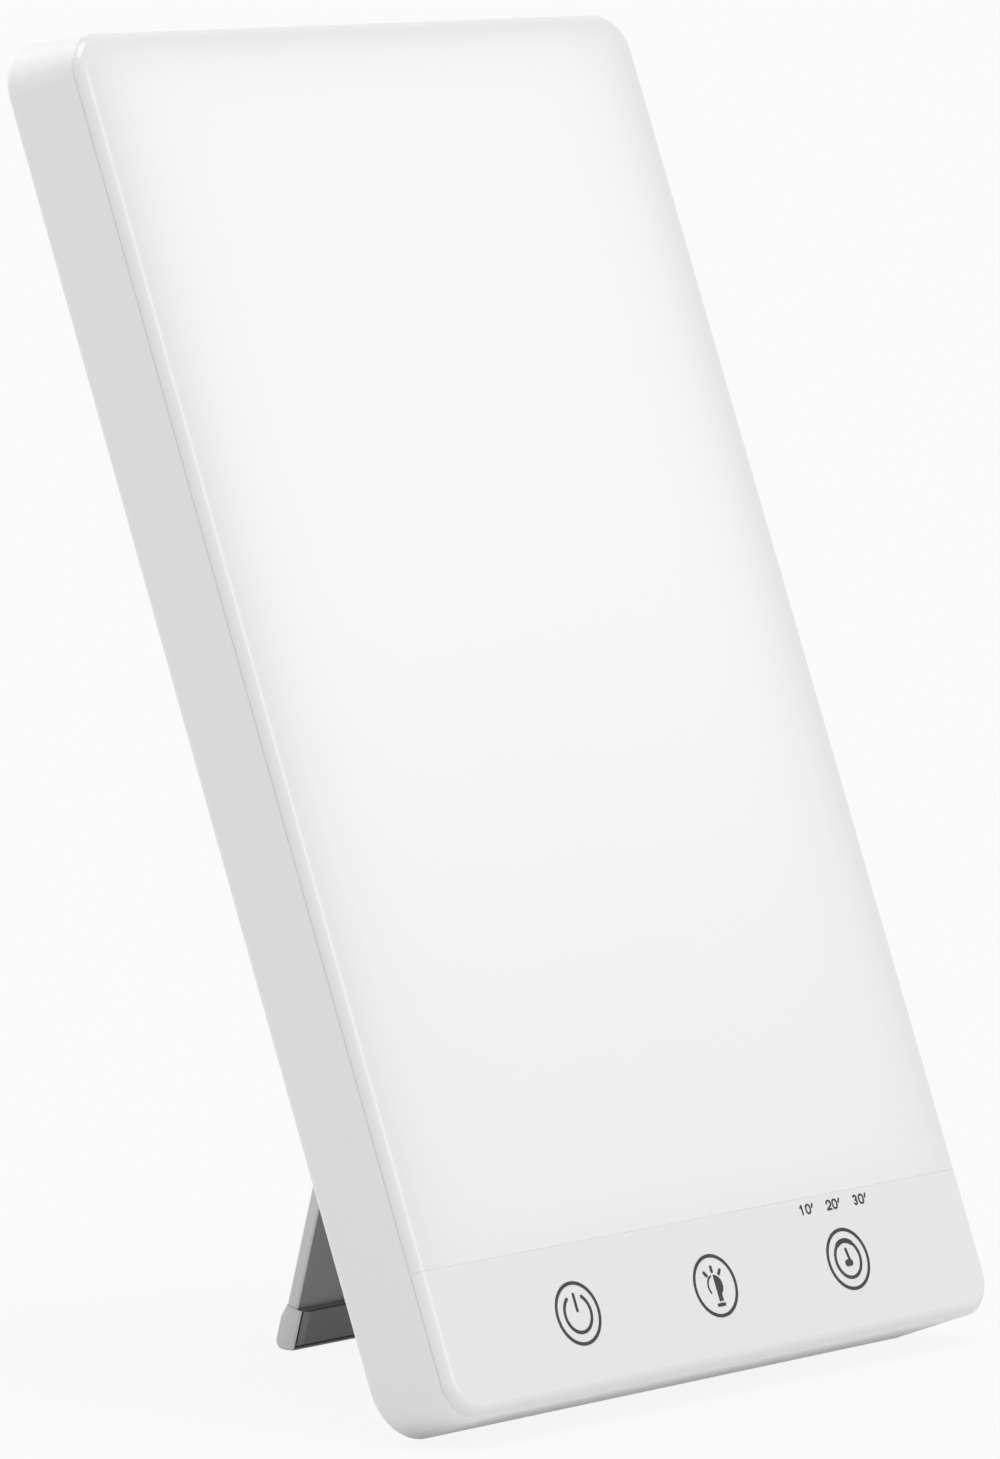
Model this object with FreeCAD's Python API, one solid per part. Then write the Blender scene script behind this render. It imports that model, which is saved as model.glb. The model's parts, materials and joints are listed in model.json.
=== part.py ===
"""Light therapy lamp: a thin lit panel that leans back on a fold-out stand.

The panel is drawn upright in its own frame and leaned back at the end:
X runs across the panel, Y is the depth behind its front face, Z runs up from its bottom edge.
The stand is drawn hanging straight down from its hinge and swung open at the end.
The finished lamp stands on z = 0 with +Z up, in millimetres, and its box is centred on x = y = 0.
"""
import FreeCAD, Part
import math
import os

Vector = FreeCAD.Vector
ACROSS = Vector(1, 0, 0)
DEPTH = Vector(0, 1, 0)
UP = Vector(0, 0, 1)
TOP_ANGLE = 90.0
FULL_TURN = 360.0

# ---------------------------------------------------------------- driving dimensions, mm and degrees

# the panel as a whole
panel_width = 150.0
panel_height = 250.0
panel_depth = 18.4
corner_radius = 7.5
lean_angle = 20.9

# front cover: a lit diffuser above a touch-control strip
cover_thickness = 2.0
cover_edge_run = 2.2
cover_edge_drop = 1.2
cover_edge_lip = 0.3
strip_height = 26.5
cover_joint_gap = 0.02
skirt_thickness = 1.2
skirt_depth = 4.2
skirt_gap = 0.15

# snap ridges that hold the cover's skirt in the case
snap_ridge_radius = 0.45
snap_ridge_length = 14.0
snap_ridge_depth = 3.2
snap_bite = 0.25
snap_clearance = 0.15
snap_pitch = 62.0

# rear case
case_wall = 2.2
back_wall = 2.2
case_top_rise = 4.2
case_back_corner = 10.0
back_edge_radius = 1.5
seam_chamfer = 0.25
rib_thickness = 1.2
rib_height = 2.5
rib_pitch = 32.0

# printed icons and timer numbers
icon_pitch = 37.5
icon_height = 14.2
icon_radius = 5.44
icon_inner_radius = 3.4
icon_stroke = 0.62
ink_height = 0.06
power_gap_angle = 70.0
power_bar_bottom = 0.5
power_bar_top = 3.4
bulb_radius = 1.95
bulb_base_drop = 3.5
bulb_neck_width = 1.1
bulb_line = 0.35
bulb_line_start = 110.0
bulb_line_end = 215.0
ray_start = 2.6
ray_end = 3.4
ray_spread = 40.0
hand_top = 1.8
hand_drop = 0.7
hand_slant = 0.45
crown_spread = 35.0
crown_stroke = 0.9
number_height = 24.4
number_pitch = 7.6
number_size = 1.6
number_width = 1.15
number_gap = 0.55
number_stroke = 0.36

# light box
film_thickness = 0.5
frame_front_border = 1.4
frame_back_border = 8.5
frame_back_corner = 2.0
box_depth = 6.9
board_clearance = 0.25
led_board_thickness = 1.0
led_board_border = 1.2
led_pitch = 15.0
led_margin = 2.6
led_width = 2.8
led_length = 3.5
led_height = 0.7
barrier_width = 2.0
barrier_gap = 0.3

# control compartment
control_board_depth = 5.2
control_board_thickness = 1.2
control_board_margin = 1.3
board_hole_clearance = 0.2
touch_pad_radius = 4.2
indicator_size = 1.6
indicator_height = 0.7
component_line = 14.6
chip_width = 4.0
chip_height = 1.6
chip_lead_pitch = 1.25
chip_lead_reach = 1.0
touch_chip_lead_count = 8
driver_chip_lead_count = 4
inductor_place = 26.5
inductor_side = 9.0
inductor_base = 1.0
inductor_height = 4.2
inductor_coil_inset = 0.5
capacitor_radius = 3.15
capacitor_height = 7.0
capacitor_places = (-24.5, -32.5)

# board screws and their bosses
boss_radius = 3.0
screw_radius = 1.0
screw_length = 5.0
screw_head_radius = 2.1
screw_head_height = 1.3
screw_slot_width = 0.5
screw_slot_length = 2.5
screw_slot_depth = 0.65
screw_clearance = 0.05
control_screw_gap = 5.1
control_screw_inset = 4.6

# DC inlet in the right-hand wall
inlet_height = 15.5
inlet_bore_radius = 3.4
inlet_dish_radius = 5.0
inlet_dish_depth = 0.5
jack_length = 14.4
jack_width = 9.0
jack_body_height = 9.4
jack_bore_radius = 3.15
jack_bore_depth = 9.5
jack_pin_radius = 1.0
jack_pin_tip = 0.8
jack_wall_gap = 0.3

# wires between the two boards
wire_radius = 0.65
wire_notch_room = 1.3
wire_inset = 32.0
wire_spacing = 2.5
plug_width = 7.6
plug_length = 6.0
plug_height = 6.0
plug_wall = 1.2
wire_rise = 7.5
wire_first_run = 0.42
wire_last_run = 0.30
wire_bend_share = 0.45

# stand
stand_width = 33.0
leg_thickness = 2.6
leg_edge_radius = 0.5
foot_thickness = 4.4
foot_height = 8.5
foot_heel_radius = 1.7
foot_toe_radius = 0.6
foot_edge_radius = 0.7
tongue_side = 2.5
tongue_inset = 0.35
tongue_length = 6.0
tongue_clearance = 0.1
hinge_height = 127.4
hinge_inset = 3.0
open_angle = 36.3
barrel_radius = 2.85
pin_radius = 1.5
pin_clearance = 0.05
pin_end_wall = 0.8
washer_radius = 2.7
washer_thickness = 0.5

# recess in the back that takes the folded stand
recess_side_gap = 0.7
recess_floor_gap = 0.3
recess_end_gap = 0.6
recess_top_gap = 1.0
recess_corner = 1.6
recess_wall = 1.4
heel_gap = 0.05
hinge_block = 4.4
finger_radius = 8.0
finger_depth = 3.6
finger_height = 14.0

# ---------------------------------------------------------------- sizes that follow

half_width = panel_width / 2
lean = math.radians(lean_angle)
seam_depth = cover_edge_drop + cover_edge_lip
inside_back = panel_depth - back_wall
in_back_wall = panel_depth - back_wall / 2
skirt_outer_inset = case_wall + skirt_gap
skirt_inner_inset = skirt_outer_inset + skirt_thickness

light_box_inset = skirt_inner_inset + board_clearance
barrier_bottom = strip_height - barrier_width / 2
barrier_top = strip_height + barrier_width / 2
light_box_bottom = barrier_top + barrier_gap
light_box_top = panel_height - light_box_inset
film_back = cover_thickness + film_thickness
led_board_front = film_back + box_depth
led_board_back = led_board_front + led_board_thickness
control_board_back = control_board_depth + control_board_thickness
jack_front = half_width - case_wall - jack_wall_gap
jack_end = jack_front - jack_length
wire_place = wire_inset - half_width

hinge_depth = panel_depth - hinge_inset
recess_half = stand_width / 2 + recess_side_gap
recess_floor = hinge_depth - barrel_radius - recess_floor_gap
open_turn = math.radians(open_angle)
stand_tilt = open_turn - lean
pin_hole_end = recess_half + hinge_block - pin_end_wall


def lowest_point_shift():
    """How far the leaned panel is lifted so that its rounded bottom back edge touches the floor."""
    centre_depth = panel_depth - back_edge_radius
    return back_edge_radius + centre_depth * math.sin(lean) - back_edge_radius * math.cos(lean)


def middle_shift():
    """How far the leaned panel is moved so that its box is centred front to back."""
    slope = case_top_rise / (panel_depth - seam_depth)
    centre_y = panel_depth - back_edge_radius
    centre_z = panel_height + slope * (centre_y - seam_depth) - back_edge_radius * math.hypot(1, slope)
    back = centre_z * math.sin(lean) + centre_y * math.cos(lean) + back_edge_radius
    return -(front_most() + back) / 2


def front_most():
    """Depth of the front-most line of the leaned cover, near its rounded bottom edge."""
    arc_radius = (cover_edge_run ** 2 + cover_edge_drop ** 2) / (2 * cover_edge_drop)
    lean_on_arc = min(lean, math.asin(cover_edge_run / arc_radius))
    line_z = cover_edge_run - arc_radius * math.sin(lean_on_arc)
    line_y = arc_radius - arc_radius * math.cos(lean_on_arc)
    return line_z * math.sin(lean) + line_y * math.cos(lean)


lift = lowest_point_shift()
shift = middle_shift()
hinge_z = hinge_height * math.cos(lean) - hinge_depth * math.sin(lean) + lift
hinge_y = hinge_height * math.sin(lean) + hinge_depth * math.cos(lean) + shift
stand_reach = hinge_z / math.cos(stand_tilt)
heel_depth = hinge_depth - recess_floor - heel_gap
heel_length = heel_depth / math.sin(open_turn) - leg_thickness / 2 / math.tan(open_turn)
foot_tip = stand_reach + foot_thickness / 2 * math.tan(stand_tilt)
recess_bottom = hinge_height - foot_tip - recess_end_gap
recess_top = hinge_height + max(heel_length, barrel_radius) + recess_top_gap


# ---------------------------------------------------------------- shape helpers

def slab(left, right, front, back, bottom, top):
    """A plain block between two limits each way."""
    return Part.makeBox(right - left, back - front, top - bottom, Vector(left, front, bottom))


def edges_along(shape, direction):
    """The straight edges of a shape that run along a direction."""
    found = []
    for edge in shape.Edges:
        run = edge.Vertexes[-1].Point - edge.Vertexes[0].Point
        if run.Length > 1e-6 and run.cross(direction).Length < 1e-6 * run.Length:
            found.append(edge)
    return found


def edge_through(shape, point):
    """The edge across a shape that runs through a point."""
    return min(edges_along(shape, ACROSS), key=lambda edge: edge.distToShape(Part.Vertex(point))[0])


def edges_at_depth(shape, depth):
    """The edges of a shape that lie in the plane at a depth behind the front face."""
    return [edge for edge in shape.Edges
            if edge.BoundBox.YLength < 1e-6 and abs(edge.BoundBox.YMin - depth) < 1e-6]


def plate(left, right, front, back, bottom, top, corner):
    """A block whose four corners are rounded, seen from the front."""
    block = slab(left, right, front, back, bottom, top)
    return block.makeFillet(corner, edges_along(block, DEPTH))


def outline_plate(inset, front, back):
    """A plate that follows the panel's outline at an inset."""
    return plate(-half_width + inset, half_width - inset, front, back,
                 inset, panel_height - inset, corner_radius - inset)


def front_wire(sheet):
    """The outline of a plate's front face."""
    return min(sheet.Faces, key=lambda face: face.CenterOfMass.y).OuterWire


def rod(radius, front, back, x, z):
    """A round bar that runs through the depth of the panel."""
    return Part.makeCylinder(radius, back - front, Vector(x, front, z), DEPTH)


def cross_rod(radius, left, right, y, z):
    """A round bar that runs across the panel."""
    return Part.makeCylinder(radius, right - left, Vector(left, y, z), ACROSS)


def join(shapes):
    """Solids fused into one, with the seams between them cleaned away."""
    shapes = list(shapes)
    return shapes[0].fuse(shapes[1:]).removeSplitter()


def stand_up(shape):
    """Lean a piece of the upright panel back and set it on the floor."""
    placed = shape.copy()
    placed.rotate(Vector(0, 0, 0), ACROSS, -lean_angle)
    placed.translate(Vector(0, shift, lift))
    return placed


def swing_open(shape):
    """Swing a piece that hangs from the origin out to the stand's open angle, at the hinge."""
    placed = shape.copy()
    placed.rotate(Vector(0, 0, 0), ACROSS, math.degrees(stand_tilt))
    placed.translate(Vector(0, hinge_y, hinge_z))
    return placed


# ---------------------------------------------------------------- front cover

def cover_edge():
    """The softly rounded border of the front cover, swept round the outline."""
    arc_radius = (cover_edge_run ** 2 + cover_edge_drop ** 2) / (2 * cover_edge_drop)
    half_turn = math.asin(cover_edge_run / arc_radius) / 2
    inner = cover_edge_run + skirt_inner_inset
    corner = Vector(0, cover_edge_drop, 0)
    middle = Vector(0, arc_radius - arc_radius * math.cos(half_turn),
                    cover_edge_run - arc_radius * math.sin(half_turn))
    face_end = Vector(0, 0, cover_edge_run)
    inner_front = Vector(0, 0, inner)
    inner_back = Vector(0, seam_depth, inner)
    outer_back = Vector(0, seam_depth, 0)
    profile = Part.Wire([
        Part.Arc(corner, middle, face_end).toShape(),
        Part.makeLine(face_end, inner_front),
        Part.makeLine(inner_front, inner_back),
        Part.makeLine(inner_back, outer_back),
        Part.makeLine(outer_back, corner),
    ])
    ring = front_wire(outline_plate(0, 0, 1)).makePipeShell([profile], True, True)
    return ring if ring.Volume > 0 else ring.reversed()


def snap_rods(radius, reach):
    """Short round ridges along the two long sides and the top, reaching out of the skirt."""
    rods = []
    centre = half_width - skirt_outer_inset + reach - radius
    side_middle = (strip_height + panel_height) / 2
    for side in (-1, 1):
        for step in (-1, 0, 1):
            bottom = side_middle + step * snap_pitch - snap_ridge_length / 2
            start = Vector(side * centre, snap_ridge_depth, bottom)
            rods.append(Part.makeCylinder(radius, snap_ridge_length, start, UP))
        bottom_rod = cross_rod(radius, side * snap_pitch / 2 - snap_ridge_length / 2,
                               side * snap_pitch / 2 + snap_ridge_length / 2, snap_ridge_depth,
                               skirt_outer_inset - reach + radius)
        top_rod = bottom_rod.copy()
        top_rod.translate(Vector(0, 0, panel_height - 2 * (skirt_outer_inset - reach + radius)))
        rods += [bottom_rod, top_rod]
    return rods


def whole_cover():
    """The front cover before it is parted into the diffuser and the control strip."""
    face = outline_plate(cover_edge_run + case_wall, 0, cover_thickness)
    backing = outline_plate(skirt_outer_inset, cover_edge_drop, cover_thickness)
    skirt = outline_plate(skirt_outer_inset, cover_edge_drop, skirt_depth)
    inside = outline_plate(skirt_inner_inset, cover_edge_drop, skirt_depth + 1)
    skirt = skirt.cut(inside)
    ridge_reach = skirt_gap + snap_bite
    return join([cover_edge(), face, backing, skirt] + snap_rods(snap_ridge_radius, ridge_reach))


def cover_part(bottom, top):
    """The stretch of the front cover between two heights."""
    window = slab(-panel_width, panel_width, -1, panel_depth, bottom, top)
    return whole_cover().common(window).removeSplitter()


def front_diffuser():
    """Milky sheet that glows: everything above the control strip."""
    return cover_part(strip_height + cover_joint_gap / 2, panel_height + 1)


def control_panel():
    """White strip with the three touch icons."""
    return cover_part(-1, strip_height - cover_joint_gap / 2)


# ---------------------------------------------------------------- rear case

def led_rows():
    """Heights of the rows of LEDs."""
    usable = light_box_top - light_box_bottom - 2 * (frame_back_border + led_margin)
    count = int(usable // led_pitch) + 1
    middle = (light_box_bottom + light_box_top) / 2
    return [middle + (index - (count - 1) / 2) * led_pitch for index in range(count)]


def led_columns():
    """Places of the columns of LEDs across the panel."""
    usable = 2 * (half_width - light_box_inset - frame_back_border - led_margin)
    count = int(usable // led_pitch) + 1
    return [(index - (count - 1) / 2) * led_pitch for index in range(count)]


def board_screw_places():
    """Places of the LED board's screws, midway between rows and columns of LEDs."""
    rows = led_rows()
    side = led_columns()[-1] - led_pitch / 2
    gaps = (0, len(rows) // 2 - 1, len(rows) - 2)
    return [(sign * side, rows[gap] + led_pitch / 2) for sign in (-1, 1) for gap in gaps]


def control_screw_places():
    """Places of the control board's screws."""
    side = jack_end - control_screw_gap - boss_radius
    low = case_wall + control_board_margin + control_screw_inset
    high = barrier_bottom - control_screw_inset
    return [(sign * side, z) for sign in (-1, 1) for z in (low, high)]


def boss(x, z, front):
    """Round post on the back wall with a blind hole for a screw."""
    post = rod(boss_radius, front, in_back_wall, x, z)
    pilot = rod(screw_radius + screw_clearance, front, front + screw_length, x, z)
    return post, pilot


def stand_recess():
    """The space in the back of the case that takes the folded stand."""
    trough = plate(-recess_half, recess_half, recess_floor, panel_depth + 1,
                   recess_bottom, recess_top, recess_corner)
    scoops = [rod(finger_radius, panel_depth - finger_depth, panel_depth + 1, x, finger_height)
              for x in (-recess_half, recess_half)]
    return join([trough] + scoops)


def recess_lining():
    """Walls inside the case round the stand's recess, its finger scoops and its hinge."""
    front = recess_floor - recess_wall
    side = recess_half + recess_wall
    trough = slab(-side, side, front, in_back_wall, case_wall / 2, recess_top + recess_wall)
    scoop_front = panel_depth - finger_depth - recess_wall
    scoops = [rod(finger_radius + recess_wall, scoop_front, in_back_wall, x, finger_height)
              for x in (-recess_half, recess_half)]
    reach = recess_half + hinge_block
    rise = barrel_radius + recess_wall
    block = slab(-reach, reach, front, in_back_wall, hinge_height - rise, hinge_height + rise)
    return [trough, block] + scoops


def case_ribs():
    """Low stiffening ribs across the inside of the back wall."""
    side = half_width - case_wall / 2
    half = rib_thickness / 2
    ribs = []
    height = light_box_bottom + rib_pitch
    while height < light_box_top - rib_pitch / 2:
        ribs.append(slab(-side, side, inside_back - rib_height, in_back_wall, height - half, height + half))
        height += rib_pitch
    return ribs


def wire_depth():
    """Depth at which the wires leave the control board's plug and pass the light barrier."""
    return control_board_back + plug_height - plug_wall


def barrier_rib_front():
    """Depth at which the foam light barrier meets its rib, just in front of the wires."""
    return wire_depth() - wire_radius - barrier_gap


def barrier_rib():
    """Tall rib that carries the foam light barrier, notched for the wires."""
    side = half_width - case_wall / 2
    half = rib_thickness / 2
    rib = slab(-side, side, barrier_rib_front(), in_back_wall, strip_height - half, strip_height + half)
    notch = slab(wire_place - plug_width / 2, wire_place + plug_width / 2, barrier_rib_front(),
                 wire_depth() + wire_radius + wire_notch_room, barrier_bottom, barrier_top)
    return rib.cut(notch)


def case_section(inset, depth):
    """The case's outline at a depth: its top rises and its corners widen from the seam to the back."""
    share = (depth - seam_depth) / (panel_depth - seam_depth)
    top = panel_height + share * case_top_rise
    corner = corner_radius + share * (case_back_corner - corner_radius)
    return front_wire(plate(-half_width + inset, half_width - inset, depth, depth + 1,
                            inset, top - inset, corner - inset))


def case_form(stations):
    """A block that follows the case's outline through a row of insets and depths."""
    return Part.makeLoft([case_section(inset, depth) for inset, depth in stations], True, True)


def case_shell():
    """Outer skin of the case: a tray with a rounded back edge and a fine chamfer at the seam."""
    block = case_form([(seam_chamfer, seam_depth), (0, seam_depth + seam_chamfer), (0, panel_depth)])
    block = block.makeFillet(back_edge_radius, edges_at_depth(block, panel_depth))
    mouth = outline_plate(case_wall, seam_depth - 1, skirt_depth)
    hollow = case_form([(case_wall, skirt_depth), (case_wall, inside_back)])
    return block.cut([mouth, hollow])


def rear_case():
    """The moulded back: tray, stand recess, hinge blocks, bosses, ribs and the DC inlet's hole."""
    bosses = [boss(x, z, led_board_back) for x, z in board_screw_places()]
    bosses += [boss(x, z, control_board_back) for x, z in control_screw_places()]
    solids = [case_shell(), barrier_rib()] + case_ribs() + recess_lining() + [post for post, _ in bosses]
    body = join(solids)
    outside = half_width + 1
    inlet = cross_rod(inlet_bore_radius, half_width - 2 * case_wall, outside, jack_depth(), inlet_height)
    dish = cross_rod(inlet_dish_radius, half_width - inlet_dish_depth, outside, jack_depth(), inlet_height)
    pin_hole = cross_rod(pin_radius + pin_clearance, -pin_hole_end, half_width - case_wall,
                         hinge_depth, hinge_height)
    grooves = snap_rods(snap_ridge_radius + snap_clearance, skirt_gap + snap_bite + snap_clearance)
    cuts = [stand_recess(), inlet, dish, pin_hole] + [pilot for _, pilot in bosses] + grooves
    return body.cut(cuts).removeSplitter()


# ---------------------------------------------------------------- light box

def light_box_plate(inset, front, back, corner):
    """A plate that fills the light box at an inset."""
    side = half_width - light_box_inset - inset
    return plate(-side, side, front, back, light_box_bottom + inset, light_box_top - inset, corner)


def light_box_corner():
    """Corner radius of what lies inside the cover's skirt."""
    return corner_radius - light_box_inset


def diffuser_film():
    """Thin frosted film that evens out the spots of the LEDs."""
    return light_box_plate(0, cover_thickness, film_back, light_box_corner())


def reflector_frame():
    """White frame with sloping inner walls that throws the edge light forward."""
    body = light_box_plate(0, film_back, led_board_front, light_box_corner())
    front = light_box_plate(frame_front_border, film_back, film_back + 1, light_box_corner())
    back = light_box_plate(frame_back_border, led_board_front, led_board_front + 1, frame_back_corner)
    return body.cut(Part.makeLoft([front_wire(front), front_wire(back)], True, True))


def led_board():
    """Circuit board that carries the LEDs, with holes for its screws."""
    board = light_box_plate(led_board_border, led_board_front, led_board_back, light_box_corner())
    holes = [rod(screw_radius + board_hole_clearance, led_board_front - 1, led_board_back + 1, x, z)
             for x, z in board_screw_places()]
    return board.cut(holes)


def led_chips():
    """Rows and columns of white surface-mount LEDs."""
    chips = []
    for z in led_rows():
        for x in led_columns():
            chips.append(slab(x - led_length / 2, x + led_length / 2, led_board_front - led_height,
                              led_board_front, z - led_width / 2, z + led_width / 2))
    return Part.Compound(chips)


def light_barrier():
    """Foam strip behind the joint that keeps the light out of the control strip."""
    side = half_width - light_box_inset
    return slab(-side, side, cover_thickness, barrier_rib_front(), barrier_bottom, barrier_top)


def screw(x, z, front):
    """Pan-head screw with a cross slot, its head standing on a board."""
    head = rod(screw_head_radius, front - screw_head_height, front, x, z)
    head_front = front - screw_head_height
    head = head.makeFillet(screw_head_height / 2, edges_at_depth(head, head_front))
    shank = rod(screw_radius, front - screw_head_height / 2, front + screw_length, x, z)
    half = screw_slot_width / 2
    arm = screw_slot_length / 2
    slot_back = head_front + screw_slot_depth
    cross = [slab(x - arm, x + arm, head_front - 1, slot_back, z - half, z + half),
             slab(x - half, x + half, head_front - 1, slot_back, z - arm, z + arm)]
    return head.fuse(shank).cut(cross)


def board_screws():
    """Screws of the LED board."""
    return Part.Compound([screw(x, z, led_board_front) for x, z in board_screw_places()])


def control_screws():
    """Screws of the control board."""
    return Part.Compound([screw(x, z, control_board_depth) for x, z in control_screw_places()])


# ---------------------------------------------------------------- control compartment

def jack_depth():
    """Depth of the DC jack's axis."""
    return control_board_back + jack_body_height / 2


def control_board():
    """Circuit board behind the control strip."""
    inset = case_wall + control_board_margin
    board = outline_plate(inset, control_board_depth, control_board_back)
    board = board.common(slab(-half_width, half_width, 0, panel_depth, 0, barrier_bottom - barrier_gap))
    hole = screw_radius + board_hole_clearance
    holes = [rod(hole, control_board_depth - 1, control_board_back + 1, x, z)
             for x, z in control_screw_places()]
    return board.cut(holes)


def icon_places():
    """Places of the three touch icons across the panel."""
    return [-icon_pitch, 0.0, icon_pitch]


def number_places():
    """Places of the three timer numbers across the panel."""
    return [icon_pitch + step * number_pitch for step in (-1, 0, 1)]


def touch_pads():
    """Conductive foam plugs that carry each touch from the strip to the board."""
    return Part.Compound([rod(touch_pad_radius, cover_thickness, control_board_depth, x, icon_height)
                          for x in icon_places()])


def indicator_leds():
    """Small LEDs behind the timer numbers."""
    half = indicator_size / 2
    front = control_board_depth - indicator_height
    height = barrier_bottom - barrier_gap - indicator_size
    return Part.Compound([slab(x - half, x + half, front, control_board_depth, height - half, height + half)
                          for x in number_places()])


def chip(x, leads):
    """Packaged circuit on the back of the control board with two rows of leads."""
    length = leads * chip_lead_pitch
    body = slab(x - length / 2, x + length / 2, control_board_back, control_board_back + chip_height,
                component_line - chip_width / 2, component_line + chip_width / 2)
    lead_back = control_board_back + chip_height / 2
    reach = chip_width / 2 + chip_lead_reach
    shapes = [body]
    for lead in range(leads):
        left = x - length / 2 + (lead + 0.25) * chip_lead_pitch
        shapes.append(slab(left, left + chip_lead_pitch / 2, control_board_back, lead_back,
                           component_line - reach, component_line + reach))
    return join(shapes)


def touch_chip():
    """Touch-sensing circuit."""
    return chip(0, touch_chip_lead_count)


def driver_chip():
    """LED driver circuit."""
    return chip(icon_pitch, driver_chip_lead_count)


def power_inductor():
    """Square coil of the LED driver with a round top."""
    half = inductor_side / 2
    base = plate(inductor_place - half, inductor_place + half, control_board_back,
                 control_board_back + inductor_base, component_line - half, component_line + half,
                 inductor_base)
    coil = rod(half - inductor_coil_inset, control_board_back + inductor_base / 2,
               control_board_back + inductor_height, inductor_place, component_line)
    return join([base, coil])


def capacitors():
    """Two round electrolytic capacitors."""
    back = control_board_back + capacitor_height
    return Part.Compound([rod(capacitor_radius, control_board_back, back, x, component_line)
                          for x in capacitor_places])


def dc_jack():
    """Socket body behind the inlet, soldered to the control board."""
    body = slab(jack_end, jack_front, control_board_back, control_board_back + jack_body_height,
                inlet_height - jack_width / 2, inlet_height + jack_width / 2)
    bore_end = jack_front - jack_bore_depth
    bore = cross_rod(jack_bore_radius, bore_end, jack_front + 1, jack_depth(), inlet_height)
    pin_seat = cross_rod(jack_pin_radius, jack_end - 1, jack_front, jack_depth(), inlet_height)
    return body.cut([bore, pin_seat])


def dc_jack_pin():
    """Centre pin of the socket."""
    tip = jack_front - jack_pin_tip
    pin = cross_rod(jack_pin_radius, jack_end, tip, jack_depth(), inlet_height)
    rim = [edge for edge in pin.Edges if abs(edge.CenterOfMass.x - tip) < 1e-6]
    return pin.makeFillet(jack_pin_radius / 2, rim)


def plug_shell(left, right, front, back, bottom, top):
    """Housing of a two-way wire plug, chamfered along its top."""
    body = slab(left, right, front, back, bottom, top)
    far = [edge for edge in edges_along(body, ACROSS) if edge.BoundBox.YMin > (front + back) / 2]
    return body.makeChamfer(plug_wall / 3, far)


def control_plug_end():
    """Height at which the wires leave the control board's plug."""
    return barrier_bottom - barrier_gap - 2 * wire_radius


def led_plug_start():
    """Height at which the wires enter the LED board's plug."""
    return barrier_top + wire_rise


def led_wire_depth():
    """Depth at which the wires enter the LED board's plug."""
    return led_board_back + plug_height / 2 - plug_wall / 2


def wire_plugs():
    """The plugs on the backs of the two boards."""
    left = wire_place - plug_width / 2
    right = wire_place + plug_width / 2
    lower = plug_shell(left, right, control_board_back, control_board_back + plug_height,
                       control_plug_end() - plug_length, control_plug_end())
    upper = plug_shell(left, right, led_board_back, led_board_back + plug_height - plug_wall,
                       led_plug_start(), led_plug_start() + plug_length)
    return Part.Compound([lower, upper])


def wire(x):
    """One insulated wire between the two plugs: straight ends joined by two equal bends."""
    start = Vector(x, wire_depth(), control_plug_end())
    end = Vector(x, led_wire_depth(), led_plug_start())
    rise = end - start
    first = start + UP * (rise.z * wire_first_run)
    second = end - UP * (rise.z * wire_last_run)
    points = [start, first, second, end]
    edges = []
    last = start
    for before, here, after in zip(points, points[1:], points[2:]):
        into = (here - before).normalize()
        out = (after - here).normalize()
        back_off = wire_bend_share * min((here - before).Length, (after - here).Length)
        turn = into.getAngle(out)
        arc_start = here - into * back_off
        arc_end = here + out * back_off
        bisector = (out - into).normalize()
        radius = back_off / math.tan(turn / 2)
        centre_distance = radius / math.cos(turn / 2)
        arc_middle = here + bisector * (centre_distance - radius)
        edges.append(Part.makeLine(last, arc_start))
        edges.append(Part.Arc(arc_start, arc_middle, arc_end).toShape())
        last = arc_end
    edges.append(Part.makeLine(last, end))
    path = Part.Wire(edges)
    section = Part.Wire([Part.makeCircle(wire_radius, start, UP)])
    tube = path.makePipeShell([section], True, False)
    return tube if tube.Volume > 0 else tube.reversed()


def red_wire():
    """Positive lead of the LED board."""
    return wire(wire_place - wire_spacing / 2)


def black_wire():
    """Negative lead of the LED board."""
    return wire(wire_place + wire_spacing / 2)


# ---------------------------------------------------------------- printed marks

def ink_disc(radius, x, z):
    """Round spot of ink."""
    return rod(radius, -ink_height, 0, x, z)


def ink_ring(radius, stroke, x, z):
    """Closed ring of ink about its mean radius."""
    outer = rod(radius + stroke / 2, -ink_height, 0, x, z)
    return outer.cut(rod(radius - stroke / 2, -ink_height - 1, 1, x, z))


def ink_line(x0, z0, x1, z1, stroke):
    """Straight stroke of ink with round ends."""
    run = Vector(x1 - x0, 0, z1 - z0)
    side = run.cross(DEPTH).normalize() * (stroke / 2)
    start = Vector(x0, -ink_height, z0)
    end = Vector(x1, -ink_height, z1)
    outline = Part.makePolygon([start + side, end + side, end - side, start - side, start + side])
    bar = Part.Face(outline).extrude(Vector(0, ink_height, 0))
    return join([bar, ink_disc(stroke / 2, x0, z0), ink_disc(stroke / 2, x1, z1)])


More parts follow.
